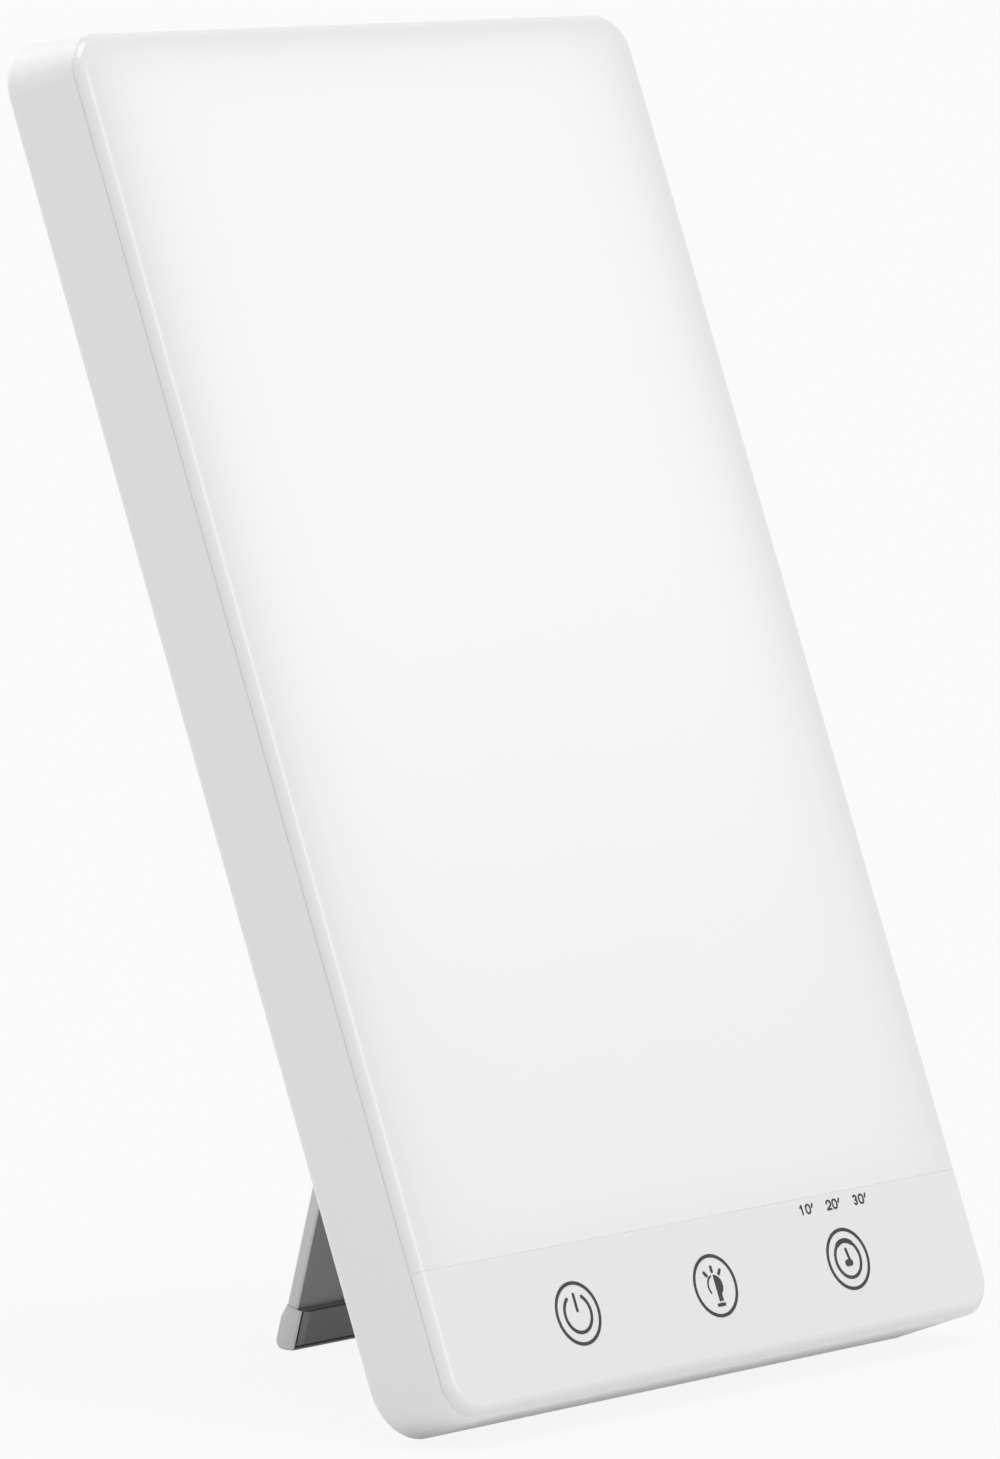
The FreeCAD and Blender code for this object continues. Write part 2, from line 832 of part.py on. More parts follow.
def ink_arc(x, z, radius, start_angle, end_angle, stroke):
    """Curved stroke of ink with round ends; angles in degrees, counted from +X towards +Z."""
    def on_circle(reach, angle):
        turn = math.radians(angle)
        return Vector(x + reach * math.cos(turn), -ink_height, z + reach * math.sin(turn))
    middle = (start_angle + end_angle) / 2
    outer = [on_circle(radius + stroke / 2, angle) for angle in (start_angle, middle, end_angle)]
    inner = [on_circle(radius - stroke / 2, angle) for angle in (end_angle, middle, start_angle)]
    outline = Part.Wire([
        Part.Arc(*outer).toShape(),
        Part.makeLine(outer[-1], inner[0]),
        Part.Arc(*inner).toShape(),
        Part.makeLine(inner[-1], outer[0]),
    ])
    band = Part.Face(outline).extrude(Vector(0, ink_height, 0))
    ends = [on_circle(radius, start_angle), on_circle(radius, end_angle)]
    return join([band] + [ink_disc(stroke / 2, end.x, end.z) for end in ends])


def power_icon():
    """Ring round the usual power sign: an open circle with a bar."""
    x = -icon_pitch
    ring = ink_ring(icon_radius, icon_stroke, x, icon_height)
    start = TOP_ANGLE + power_gap_angle / 2
    circle = ink_arc(x, icon_height, icon_inner_radius, start, start + FULL_TURN - power_gap_angle,
                     icon_stroke)
    bar = ink_line(x, icon_height + power_bar_bottom, x, icon_height + power_bar_top, icon_stroke)
    return Part.Compound([ring, circle, bar])


def brightness_icon():
    """Ring round a small bulb, dark on one side, with three rays."""
    z = icon_height
    ring = ink_ring(icon_radius, icon_stroke, 0, z)
    left_half = slab(-2 * bulb_radius, 0, -1, 1, z - 2 * bulb_radius, z + 2 * bulb_radius)
    shade = rod(bulb_radius, -ink_height, 0, 0, z).cut(left_half)
    neck = slab(0, bulb_neck_width, -ink_height, 0, z - bulb_base_drop + icon_stroke, z)
    dark_side = join([shade, neck])
    outline = ink_arc(0, z, bulb_radius, bulb_line_start, bulb_line_end, bulb_line)
    base_z = z - bulb_base_drop
    base = ink_line(-bulb_neck_width / 2, base_z, bulb_neck_width, base_z, icon_stroke)
    rays = []
    for angle in (TOP_ANGLE - ray_spread, TOP_ANGLE, TOP_ANGLE + ray_spread):
        turn = math.radians(angle)
        rays.append(ink_line(ray_start * math.cos(turn), z + ray_start * math.sin(turn),
                             ray_end * math.cos(turn), z + ray_end * math.sin(turn), icon_stroke))
    return Part.Compound([ring, dark_side, outline, base] + rays)


def timer_icon():
    """Ring round a small clock face, thick at its crown, with a slanting hand and a short thick one."""
    x = icon_pitch
    ring = ink_ring(icon_radius, icon_stroke, x, icon_height)
    dial = ink_ring(icon_inner_radius, icon_stroke, x, icon_height)
    crown = ink_arc(x, icon_height, icon_inner_radius, TOP_ANGLE - crown_spread, TOP_ANGLE + crown_spread,
                    crown_stroke)
    low = icon_height - hand_drop
    long_hand = ink_line(x, icon_height + hand_top, x + hand_slant, low, icon_stroke)
    short_hand = ink_line(x - hand_slant, low, x + hand_slant, low, 2 * icon_stroke)
    return Part.Compound([ring, join([dial, crown]), join([long_hand, short_hand])])


def figure_one(x, z):
    """Figure 1, drawn from its lower left corner."""
    top = z + number_size
    stem = x + number_width / 2
    return [ink_line(stem - number_width / 3, top - number_width / 3, stem, top, number_stroke),
            ink_line(stem, top, stem, z, number_stroke)]


def figure_nought(x, z):
    """Figure 0, drawn from its lower left corner."""
    radius = number_width / 2
    low = z + radius
    high = z + number_size - radius
    return [ink_arc(x + radius, high, radius, 0, 180, number_stroke),
            ink_arc(x + radius, low, radius, 180, 360, number_stroke),
            ink_line(x, low, x, high, number_stroke),
            ink_line(x + number_width, low, x + number_width, high, number_stroke)]


def figure_two(x, z):
    """Figure 2, drawn from its lower left corner."""
    radius = number_width / 2
    high = z + number_size - radius
    shoulder = math.radians(-30)
    return [ink_arc(x + radius, high, radius, -30, 170, number_stroke),
            ink_line(x + radius + radius * math.cos(shoulder), high + radius * math.sin(shoulder),
                     x, z, number_stroke),
            ink_line(x, z, x + number_width, z, number_stroke)]


def figure_three(x, z):
    """Figure 3, drawn from its lower left corner."""
    radius = number_size / 4
    middle = x + number_width / 2
    return [ink_arc(middle, z + number_size - radius, radius, -90, 150, number_stroke),
            ink_arc(middle, z + radius, radius, -150, 90, number_stroke)]


def minute_mark(x, z):
    """Slanting tick after a number of minutes."""
    top = z + number_size
    return ink_line(x, top - number_width / 2, x + number_width / 4, top, number_stroke)


def time_numbers():
    """The timer's steps, 10, 20 and 30 minutes, above the clock."""
    marks = []
    step = number_width + number_gap
    bottom = number_height - number_size / 2
    for place, first in zip(number_places(), (figure_one, figure_two, figure_three)):
        left = place - step
        marks.append(join(first(left, bottom)))
        marks.append(join(figure_nought(left + step, bottom)))
        marks.append(minute_mark(left + 2 * step, bottom))
    return Part.Compound(marks)


# ---------------------------------------------------------------- stand

def barrel_bore():
    """Hole through the stand for the hinge pin, with running clearance."""
    return cross_rod(pin_radius + pin_clearance, -stand_width, stand_width, 0, 0)


def tongue(clearance):
    """Thin end of the leg that the foot slides over, or its socket when a clearance is given."""
    side = stand_width / 2 - tongue_side + clearance
    half = leg_thickness / 2 - tongue_inset + clearance
    top = -(stand_reach - foot_height)
    return slab(-side, side, -half, half, top - tongue_length - clearance, top + leg_thickness)


def stand_leg():
    """Flat leg with the hinge barrel at its head, a stop beyond it and a tongue for the foot."""
    half = leg_thickness / 2
    side = stand_width / 2
    blade = slab(-side, side, -half, half, -(stand_reach - foot_height), heel_length)
    blade = blade.makeFillet(leg_edge_radius, edges_along(blade, UP))
    barrel = cross_rod(barrel_radius, -side, side, 0, 0)
    return join([blade, barrel, tongue(0)]).cut(barrel_bore())


def stand_foot():
    """Soft foot over the end of the leg, cut so that it lies flat on the floor when the stand is open."""
    half = foot_thickness / 2
    side = stand_width / 2
    slope = math.tan(stand_tilt)
    top = -(stand_reach - foot_height) - tongue_clearance
    corners = [Vector(-side, half, top), Vector(-side, half, -stand_reach - half * slope),
               Vector(-side, -half, -stand_reach + half * slope), Vector(-side, -half, top)]
    block = Part.Face(Part.makePolygon(corners + corners[:1])).extrude(ACROSS * stand_width)
    block = block.makeFillet(foot_heel_radius, [edge_through(block, corners[1])])
    block = block.makeFillet(foot_toe_radius, [edge_through(block, corners[2])])
    block = block.makeFillet(foot_edge_radius, edges_along(block, UP))
    return block.cut(tongue(tongue_clearance))


def hinge_pin():
    """Steel pin through the case's hinge blocks and the stand's barrel."""
    end = pin_hole_end - pin_clearance
    return cross_rod(pin_radius, -end, end, hinge_depth, hinge_height)


def friction_washers():
    """Nylon washers between the barrel's ends and the case, which hold the stand where it is put."""
    washers = []
    start = stand_width / 2 + (recess_side_gap - washer_thickness) / 2
    for left in (start, -start - washer_thickness):
        right = left + washer_thickness
        disc = cross_rod(washer_radius, left, right, hinge_depth, hinge_height)
        hole = cross_rod(pin_radius + pin_clearance, left, right, hinge_depth, hinge_height)
        washers.append(disc.cut(hole))
    return Part.Compound(washers)


# ---------------------------------------------------------------- output

PANEL_PIECES = [
    front_diffuser, control_panel, rear_case, power_icon, brightness_icon, timer_icon, time_numbers,
    diffuser_film, reflector_frame, led_board, led_chips, board_screws, light_barrier,
    control_board, control_screws, touch_pads, indicator_leds, touch_chip, driver_chip,
    power_inductor, capacitors, dc_jack, dc_jack_pin, wire_plugs, red_wire, black_wire,
    hinge_pin, friction_washers,
]
STAND_PIECES = [stand_leg, stand_foot]


def write_parts():
    """Write each piece, in its place on the standing lamp, to its own STEP file."""
    os.makedirs("parts", exist_ok=True)
    for place, pieces in ((stand_up, PANEL_PIECES), (swing_open, STAND_PIECES)):
        for piece in pieces:
            place(piece()).exportStep("parts/" + piece.__name__ + ".step")


write_parts()
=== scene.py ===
import json
import math

import bmesh
import bpy
from bpy.props import FloatProperty, FloatVectorProperty, IntProperty, PointerProperty
from mathutils import Matrix, Vector


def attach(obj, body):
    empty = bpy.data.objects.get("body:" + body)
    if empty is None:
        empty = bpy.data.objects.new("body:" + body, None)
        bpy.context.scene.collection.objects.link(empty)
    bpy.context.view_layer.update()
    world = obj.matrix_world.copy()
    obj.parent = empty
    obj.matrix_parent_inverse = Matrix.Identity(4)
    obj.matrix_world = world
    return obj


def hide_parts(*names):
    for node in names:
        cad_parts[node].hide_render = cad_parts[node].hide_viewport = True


# The lamp's parts come packed in one frame, in metres, with +Z up and the lit front towards -Y.
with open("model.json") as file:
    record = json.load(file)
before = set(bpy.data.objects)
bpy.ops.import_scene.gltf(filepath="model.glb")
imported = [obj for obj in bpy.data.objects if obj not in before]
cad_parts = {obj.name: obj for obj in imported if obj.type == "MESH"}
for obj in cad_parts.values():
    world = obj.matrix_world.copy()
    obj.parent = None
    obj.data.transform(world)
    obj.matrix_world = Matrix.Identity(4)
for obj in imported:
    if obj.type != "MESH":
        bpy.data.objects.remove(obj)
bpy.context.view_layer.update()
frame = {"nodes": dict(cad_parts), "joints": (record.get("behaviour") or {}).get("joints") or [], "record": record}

bl_info = {
    "name": "Light therapy lamp",
    "version": (1, 0, 0),
    "blender": (4, 5, 0),
    "location": "3D Viewport > Sidebar > Lamp",
    "description": "Finishes the parts of a light therapy lamp and sets it on a studio floor",
    "category": "Object",
}

# ---------------------------------------------------------------- places and sizes from the frame

MM = 0.001
X_AXIS = Vector((1, 0, 0))
Y_AXIS = Vector((0, 1, 0))
Z_AXIS = Vector((0, 0, 1))

NODES = frame["nodes"]
MOUNTS = {mount["name"]: mount for mount in frame["record"]["mounts"]}
ACROSS = X_AXIS
DEPTH = Vector(MOUNTS["back_face"]["axis"]).normalized()
HEIGHT = ACROSS.cross(DEPTH)

# The front sheet's unlit border, the LEDs and their rows, and a hair's breadth that tells places apart.
SIDE_BORDER = 3.4 * MM
TOP_BORDER = 1.5 * MM
LED_PITCH = 15 * MM
LED_WIDTH = 2.8 * MM
HAIR = 0.01 * MM


def span(node, direction):
    """How far a CAD node reaches along a direction: its lowest and highest value."""
    reach = [vertex.co.dot(direction) for vertex in NODES[node].data.vertices]
    return min(reach), max(reach)


def broad_normal(node):
    """Direction of the broadest flat face of a CAD node, on the side that looks towards -Y."""
    broadest = max(NODES[node].data.polygons, key=lambda face: face.area).normal.copy()
    return broadest if broadest.y < 0 else -broadest


def axes_at(origin, across, depth, height):
    """The matrix that takes a piece drawn along X, Y and Z to a place and three directions."""
    return Matrix.Translation(origin) @ Matrix((across, depth, height)).transposed().to_4x4()


HALF_WIDTH = span("rear_case", ACROSS)[1]
PANEL_FRONT = span("front_diffuser", DEPTH)[0]
PANEL_BOTTOM = span("rear_case", HEIGHT)[0]
SHEET_BOTTOM, SHEET_TOP = span("front_diffuser", HEIGHT)
STAND_HALF_WIDTH = span("stand_leg", ACROSS)[1]
FIRST_LED_ROW = span("led_chips", HEIGHT)[0] + LED_WIDTH / 2
HINGE = Vector(frame["joints"][0]["pos_m"])
LEG_FRONT = broad_normal("stand_leg")
LEG_UP = LEG_FRONT.cross(ACROSS)

# The panel's own axes start in the middle of its front bottom edge: across, into its depth, and up.
PANEL_PLACE = axes_at(PANEL_FRONT * DEPTH + PANEL_BOTTOM * HEIGHT, ACROSS, DEPTH, HEIGHT)
# The open stand's own axes start in the middle of its hinge: across, from front to back, and up the leg.
STAND_PLACE = axes_at(Vector((0, HINGE.y, HINGE.z)), ACROSS, -LEG_FRONT, LEG_UP)


def box_of(points):
    """The lowest and the highest corner of the box round some points."""
    low = Vector([min(point[axis] for point in points) for axis in range(3)])
    high = Vector([max(point[axis] for point in points) for axis in range(3)])
    return low, high


def solid_boxes(node, place=PANEL_PLACE):
    """The box round each separate solid of a CAD node, on the axes of its body, from the lowest up."""
    inward = place.inverted()
    drawn = bmesh.new()
    drawn.from_mesh(NODES[node].data)
    bmesh.ops.remove_doubles(drawn, verts=drawn.verts, dist=HAIR / 10)
    left = set(drawn.verts)
    boxes = []
    while left:
        # The list grows while it is walked, until it holds every vertex of one solid.
        reached = [left.pop()]
        for vertex in reached:
            for edge in vertex.link_edges:
                other = edge.other_vert(vertex)
                if other in left:
                    left.remove(other)
                    reached.append(other)
        boxes.append(box_of([inward @ vertex.co for vertex in reached]))
    drawn.free()
    return sorted(boxes, key=lambda box: (round(box[0].z / MM), box[0].x))


# ---------------------------------------------------------------- what a user may change

def grey(value):
    """A neutral colour."""
    return (value, value, value)


def color_property(name, description, default):
    """A colour that the user may change."""
    return FloatVectorProperty(name=name, description=description, default=default,
                               subtype="COLOR", size=3, min=0.0, max=1.0)


def level_property(name, description, default, limit=5.0):
    """A level, from zero up to a limit, that the user may change."""
    return FloatProperty(name=name, description=description, default=default, min=0.0, max=limit)


def length_property(name, description, default):
    """A length that the user may change."""
    return FloatProperty(name=name, description=description, default=default, min=HAIR, unit="LENGTH")


def angle_property(name, description, degrees):
    """An angle that the user may change."""
    return FloatProperty(name=name, description=description, default=math.radians(degrees), subtype="ANGLE")


class LampFinishes(bpy.types.PropertyGroup):
    """Colours of the lamp's parts and the strength of its glow."""

    shell_color: color_property("Shell", "Colour of the rear case", grey(0.782))
    strip_color: color_property("Control strip", "Colour of the touch-control strip", grey(0.738))
    sheet_color: color_property("Front sheet", "Colour of the milky front sheet, unlit", grey(0.730))
    edge_color: color_property("Stand edges", "Colour of the leg's and foot's narrow sides", grey(0.64))
    # The stand's broad faces are painted a darker grey than its narrow sides: painted shade where they face the
    # panel's back and the floor.
    stand_shade_color: color_property("Stand faces", "Colour of the leg's broad faces", grey(0.190))
    # The foot's faces and pad are painted darker still, as painted shade.
    foot_shade_color: color_property("Foot pads", "Colour of the rubber on the foot's broad faces", grey(0.138))
    ink_color: color_property("Ink", "Colour of the printed icons", (0.018, 0.018, 0.020))
    board_color: color_property("Control board", "Colour of the solder mask", (0.012, 0.12, 0.05))
    glow: level_property("Glow", "Light given off by the middle of the front sheet", 0.15)
    side_fade: length_property("Side fade", "Width of the dimmer stretch along the long sides", 7.5 * MM)
    top_fade: length_property("Top fade", "Width of the dimmer stretch along the top", 4 * MM)
    glow_rise: length_property("Glow rise", "Height over which the glow gathers above the strip", 135 * MM)


class LampShapes(bpy.types.PropertyGroup):
    """Sizes of the pieces that are modelled here."""

    heel_radius: length_property("Heel radius", "Rounding of the foot's rear bottom edge", 1.7 * MM)
    toe_radius: length_property("Toe radius", "Rounding of the foot's front bottom edge", 0.6 * MM)
    shoulder_height: length_property("Shoulder height", "Height of the slope behind the foot's top", 2.6 * MM)
    shoulder_depth: length_property("Shoulder depth", "How far forward that slope leans", 0.8 * MM)
    lead_pitch: length_property("Lead pitch", "Distance between the leads of a circuit", 1.25 * MM)
    lead_reach: length_property("Lead reach", "How far the leads stand out from a circuit", 1.0 * MM)
    coil_turns: IntProperty(name="Coil turns", description="Turns of copper that show on the power coil",
                            default=5, min=1, max=20)


class LampStage(bpy.types.PropertyGroup):
    """Floor, lights and camera."""

    floor_radius: length_property("Floor radius", "Radius of the round floor", 16.0)
    floor_color: color_property("Floor", "Colour of the floor as the camera sees it", grey(0.950))
    floor_bounce: level_property("Floor bounce", "Share of light that the floor throws back", 0.83, 1.0)
    shadow_share: level_property("Shadow", "Share of the floor's look that the light on it makes", 0.06, 1.0)
    sky_strength: level_property("Sky", "Strength of the even light from all round", 0.66)
    key_strength: level_property("Key light", "Level of the light at the front", 0.10)
    top_strength: level_property("Top light", "Level of the large light overhead", 0.40)
    back_strength: level_property("Back light", "Level of the wide light behind the lamp", 0.26)
    camera_place: FloatVectorProperty(name="Camera", description="Place of the camera", subtype="TRANSLATION",
                                      unit="LENGTH", default=(-1.23775, -1.06198, 0.29278))
    camera_turn: angle_property("Camera turn", "Direction of view, from +Y towards +X", 49.34)
    camera_drop: angle_property("Camera drop", "Angle of view below the horizon", 6.24)
    camera_lens: FloatProperty(name="Lens", description="Focal length in millimetres, for the sensor's width",
                               default=226.85, min=1.0)
    sensor_width: FloatProperty(name="Sensor", description="Width of the sensor in millimetres",
                                default=36.0, min=1.0)


# ---------------------------------------------------------------- shader maths

class Field:
    """A number, colour or shader that nodes work out: one socket, whose sums and products add Math nodes."""

    def __init__(self, shading, socket):
        self.shading = shading
        self.socket = socket

    def math(self, operation, *values):
        """A Math node that works on these values."""
        return self.shading.node("ShaderNodeMath", *values, settings={"operation": operation})

    def __add__(self, other):
        return self.math("ADD", self, other)

    def __radd__(self, other):
        return self.math("ADD", other, self)

    def __sub__(self, other):
        return self.math("SUBTRACT", self, other)

    def __rsub__(self, other):
        return self.math("SUBTRACT", other, self)

    def __mul__(self, other):
        return self.math("MULTIPLY", self, other)

    def __rmul__(self, other):
        return self.math("MULTIPLY", other, self)

    def __mod__(self, other):
        return self.math("FLOORED_MODULO", self, other)

    def __abs__(self):
        return self.math("ABSOLUTE", self)

    def exp(self):
        """e to the power of this value."""
        return self.math("EXPONENT", self)

    def most(self, other):
        """The larger of two values, at each place."""
        return self.math("MAXIMUM", self, other)

    def ramp(self, low, high):
        """Rises smoothly from 0 to 1 as this value goes from low to high."""
        return self.shading.node("ShaderNodeMapRange", self, low, high, 0.0, 1.0,
                                 settings={"interpolation_type": "SMOOTHSTEP", "clamp": True})


class Shading:
    """A node tree in the making, of a material or of the world."""

    def __init__(self, tree):
        self.tree = tree

    def plug(self, socket, value):
        """Links a field to a socket, or writes a number, a vector or a colour on it."""
        if isinstance(value, Field):
            self.tree.links.new(value.socket, socket)
        elif socket.type == "RGBA":
            socket.default_value = (*value, 1.0)
        else:
            socket.default_value = value

    def node(self, kind, *values, settings=None, output=None, **named):
        """Adds a node, sets its settings and then its sockets, and gives its named or first live output."""
        made = self.tree.nodes.new(kind)
        for setting, value in (settings or {}).items():
            setattr(made, setting, value)
        for socket, value in zip([socket for socket in made.inputs if socket.enabled], values):
            self.plug(socket, value)
        for name, value in named.items():
            self.plug(made.inputs[name.replace("_", " ")], value)
        if output is None:
            return Field(self, next(socket for socket in made.outputs if socket.enabled))
        return Field(self, made.outputs[output])

    def looked_at(self):
        """1 where the camera looks, also by way of metal or glass, and 0 for light on its way."""
        camera, glossy, clear = [self.node("ShaderNodeLightPath", output="Is " + kind + " Ray")
                                 for kind in ("Camera", "Glossy", "Transmission")]
        return camera.most(glossy).most(clear)

    def show(self, shader):
        """Makes a shader the one that the tree gives."""
        output = next(node for node in self.tree.nodes if "Surface" in node.inputs)
        self.plug(output.inputs["Surface"], shader)


class Finish(Shading):
    """A material in the making: its nodes and its Principled shader."""

    def __init__(self, name, color, **constants):
        self.material = bpy.data.materials.new(name)
        self.material.use_nodes = True
        super().__init__(self.material.node_tree)
        self.shader = self.tree.nodes["Principled BSDF"]
        self.color = tuple(color)
        self.feed("Base Color", self.color)
        for socket, value in constants.items():
            self.feed(socket.replace("_", " "), value)
        self.material.diffuse_color = (*self.color, 1.0)

    def feed(self, socket, value):
        """Lets a field or a constant drive one of the shader's sockets."""
        self.plug(self.shader.inputs[socket], value)

    def place(self):
        """Object coordinates."""
        return self.node("ShaderNodeTexCoord", output="Object")

    def along(self, direction):
        """Distance along a direction, in metres."""
        return self.node("ShaderNodeVectorMath", self.place(), tuple(direction),
                         settings={"operation": "DOT_PRODUCT"}, output="Value")

    def noise(self, grain, detail=2.0, stretch=(1, 1, 1)):
        """Cloudy values about 0.5 whose patches are about as wide as the grain, in metres."""
        scaled = self.node("ShaderNodeMapping", self.place(), settings={"vector_type": "POINT"},
                           Scale=tuple(stretch))
        return self.node("ShaderNodeTexNoise", settings={"noise_dimensions": "3D"}, Vector=scaled,
                         Scale=1 / grain, Detail=detail, Roughness=0.55)

    def cells(self, grain):
        """Distance to the nearest of many scattered points, spaced by about the grain."""
        return self.node("ShaderNodeTexVoronoi", settings={"feature": "F1"}, Vector=self.place(),
                         Scale=1 / grain)

    def blend(self, factor, first, second):
        """One colour that turns into another where the factor rises from 0 to 1."""
        return self.node("ShaderNodeMix", factor, first, second, settings={"data_type": "RGBA"})

    def vary_color(self, field, share):
        """Lets the base colour darken and lighten a little with a field about 0.5."""
        dark = tuple(value * (1 - share) for value in self.color)
        light = tuple(min(1.0, value * (1 + share)) for value in self.color)
        self.feed("Base Color", self.blend(field, dark, light))

    def vary_roughness(self, field, low, high):
        """Lets the roughness run between two values with a field from 0 to 1."""
        self.feed("Roughness", field * (high - low) + low)

    def raise_surface(self, field, depth):
        """Bumps the surface by a field from 0 to 1 over a depth in metres."""
        self.feed("Normal", self.node("ShaderNodeBump", Strength=1.0, Distance=depth, Height=field))


# ---------------------------------------------------------------- finishes of the shell

def moulded_plastic(name, color, roughness, grain=0.35 * MM, depth=0.004 * MM):
    """Moulded plastic with a fine spark-eroded grain and slow drifts of tone and sheen."""
    finish = Finish(name, color)
    drift = finish.noise(60 * MM, 3.0)
    finish.vary_color(drift, 0.012)
    finish.vary_roughness(finish.noise(9 * MM, 4.0), roughness - 0.04, roughness + 0.04)
    finish.raise_surface(finish.noise(grain, 3.0), depth)
    return finish


def painted_shade_plastic(name, face_shade_color, edge_color, roughness):
    """Moulded plastic whose broad faces are painted darker than its narrow sides, as painted shade."""
    finish = moulded_plastic(name, face_shade_color, roughness, 0.3 * MM, 0.006 * MM)
    # Blends from the painted-shade grey of the broad faces to the lit grey of the narrow sides.
    out = abs(finish.along(ACROSS)).ramp(STAND_HALF_WIDTH - 0.45 * MM, STAND_HALF_WIDTH - 0.15 * MM)
    finish.feed("Base Color", finish.blend(out, tuple(face_shade_color), tuple(edge_color)))
    return finish


def milky_sheet(settings):
    """Milky acrylic sheet that glows, dimmer near its border where the light box's walls are."""
    finish = Finish("milky_sheet", settings.sheet_color, Emission_Strength=settings.glow)
    drift = finish.noise(80 * MM, 2.0)
    finish.vary_color(drift, 0.006)
    finish.vary_roughness(finish.noise(14 * MM, 3.0), 0.21, 0.27)
    finish.raise_surface(finish.noise(0.5 * MM, 2.0), 0.0008 * MM)
    side = (HALF_WIDTH - SIDE_BORDER - abs(finish.along(ACROSS))).most(0.0)
    height = finish.along(HEIGHT)
    top = (SHEET_TOP - TOP_BORDER - height).most(0.0)
    bottom = (height - SHEET_BOTTOM).most(0.0)
    edge_loss = 0.55
    low_share = 0.55
    inward = (1 - (side * (-1 / settings.side_fade)).exp()) * (1 - (top * (-1 / settings.top_fade)).exp())
    upward = 1 - edge_loss * (bottom * (-1 / settings.side_fade)).exp()
    gather = low_share + (1 - low_share) * height.ramp(SHEET_BOTTOM, SHEET_BOTTOM + settings.glow_rise)
    glow = finish.blend(inward * upward * gather, (0.0, 0.0, 0.0), (1.0, 1.0, 1.0))
    finish.feed("Emission Color", glow)
    return finish


def printed_ink(settings):
    """Screen-printed ink, a little uneven in thickness."""
    finish = Finish("printed_ink", settings.ink_color)
    speckle = finish.noise(0.12 * MM, 3.0)
    finish.vary_color(speckle, 0.25)
    finish.vary_roughness(finish.noise(0.6 * MM, 2.0), 0.38, 0.55)
    finish.raise_surface(speckle, 0.003 * MM)
    return finish


# ---------------------------------------------------------------- finishes of the inside

def frosted_film():
    """Frosted film with a fine prismatic ribbing."""
    finish = Finish("frosted_film", (0.86, 0.86, 0.86), Specular_IOR_Level=0.6)
    rib = 0.5 * MM
    finish.raise_surface(abs(finish.along(HEIGHT) % rib * (1 / rib) - 0.5), 0.05 * MM)
    finish.vary_color(finish.noise(30 * MM), 0.01)
    finish.vary_roughness(finish.noise(3 * MM), 0.42, 0.58)
    return finish


def reflector_white():
    """Bright white plastic with a micro-cellular surface that scatters light."""
    finish = Finish("reflector_white", (0.87, 0.87, 0.86))
    pores = finish.cells(0.35 * MM)
    finish.raise_surface(pores, 0.02 * MM)
    finish.vary_color(finish.noise(20 * MM), 0.015)
    finish.vary_roughness(finish.noise(2 * MM), 0.6, 0.8)
    return finish


def led_board_mask():
    """White solder mask over the copper strips that join the LEDs in rows."""
    finish = Finish("led_board_mask", (0.80, 0.80, 0.77))
    strip_half = 3.0 * MM
    gap_half = 0.35 * MM
    row = (finish.along(HEIGHT) - FIRST_LED_ROW + LED_PITCH / 2) % LED_PITCH
    column = finish.along(ACROSS) % LED_PITCH
    strip = 1 - abs(row - LED_PITCH / 2).ramp(strip_half, strip_half + 0.2 * MM)
    copper = strip * abs(column - LED_PITCH / 2).ramp(gap_half, gap_half + 0.15 * MM)
    finish.feed("Base Color", finish.blend(copper, (0.72, 0.72, 0.69), (0.82, 0.82, 0.79)))
    finish.raise_surface(copper + 0.1 * finish.noise(0.4 * MM), 0.035 * MM)
    finish.vary_roughness(finish.noise(5 * MM), 0.3, 0.42)
    return finish


def led_body():
    """White plastic package of an LED."""
    finish = Finish("led_body", (0.82, 0.82, 0.80))
    finish.vary_color(finish.noise(1.5 * MM), 0.02)
    finish.vary_roughness(finish.noise(0.3 * MM), 0.38, 0.52)
    finish.raise_surface(finish.noise(0.08 * MM), 0.002 * MM)
    return finish


def led_phosphor():
    """Yellow phosphor gel in the window of an LED."""
    finish = Finish("led_phosphor", (0.80, 0.56, 0.07), Coat_Weight=0.6, Coat_Roughness=0.1)
    finish.vary_color(finish.noise(0.4 * MM), 0.1)
    finish.vary_roughness(finish.noise(0.3 * MM), 0.18, 0.32)
    finish.raise_surface(finish.noise(0.06 * MM), 0.002 * MM)
    return finish


def zinc_steel():
    """Zinc-plated steel of the small screws."""
    finish = Finish("zinc_steel", (0.55, 0.56, 0.58), Metallic=1.0)
    finish.vary_color(finish.noise(0.8 * MM, 4.0), 0.12)
    finish.vary_roughness(finish.noise(0.25 * MM, 3.0), 0.22, 0.42)
    finish.raise_surface(finish.noise(0.1 * MM), 0.004 * MM)
    return finish


def black_foam():
    """Closed-cell black foam of the light barrier."""
    finish = Finish("black_foam", (0.022, 0.022, 0.023))
    pores = finish.cells(0.3 * MM)
    finish.vary_color(pores, 0.5)
    finish.vary_roughness(finish.noise(1 * MM), 0.88, 1.0)
    finish.raise_surface(pores, 0.12 * MM)
    return finish


def pad_foam():
    """Grey conductive foam of the touch pads."""
    finish = Finish("pad_foam", (0.07, 0.07, 0.075))
    pores = finish.cells(0.22 * MM)
    finish.vary_color(pores, 0.4)
    finish.vary_roughness(finish.noise(0.7 * MM), 0.78, 0.92)
    finish.raise_surface(pores, 0.08 * MM)
    return finish


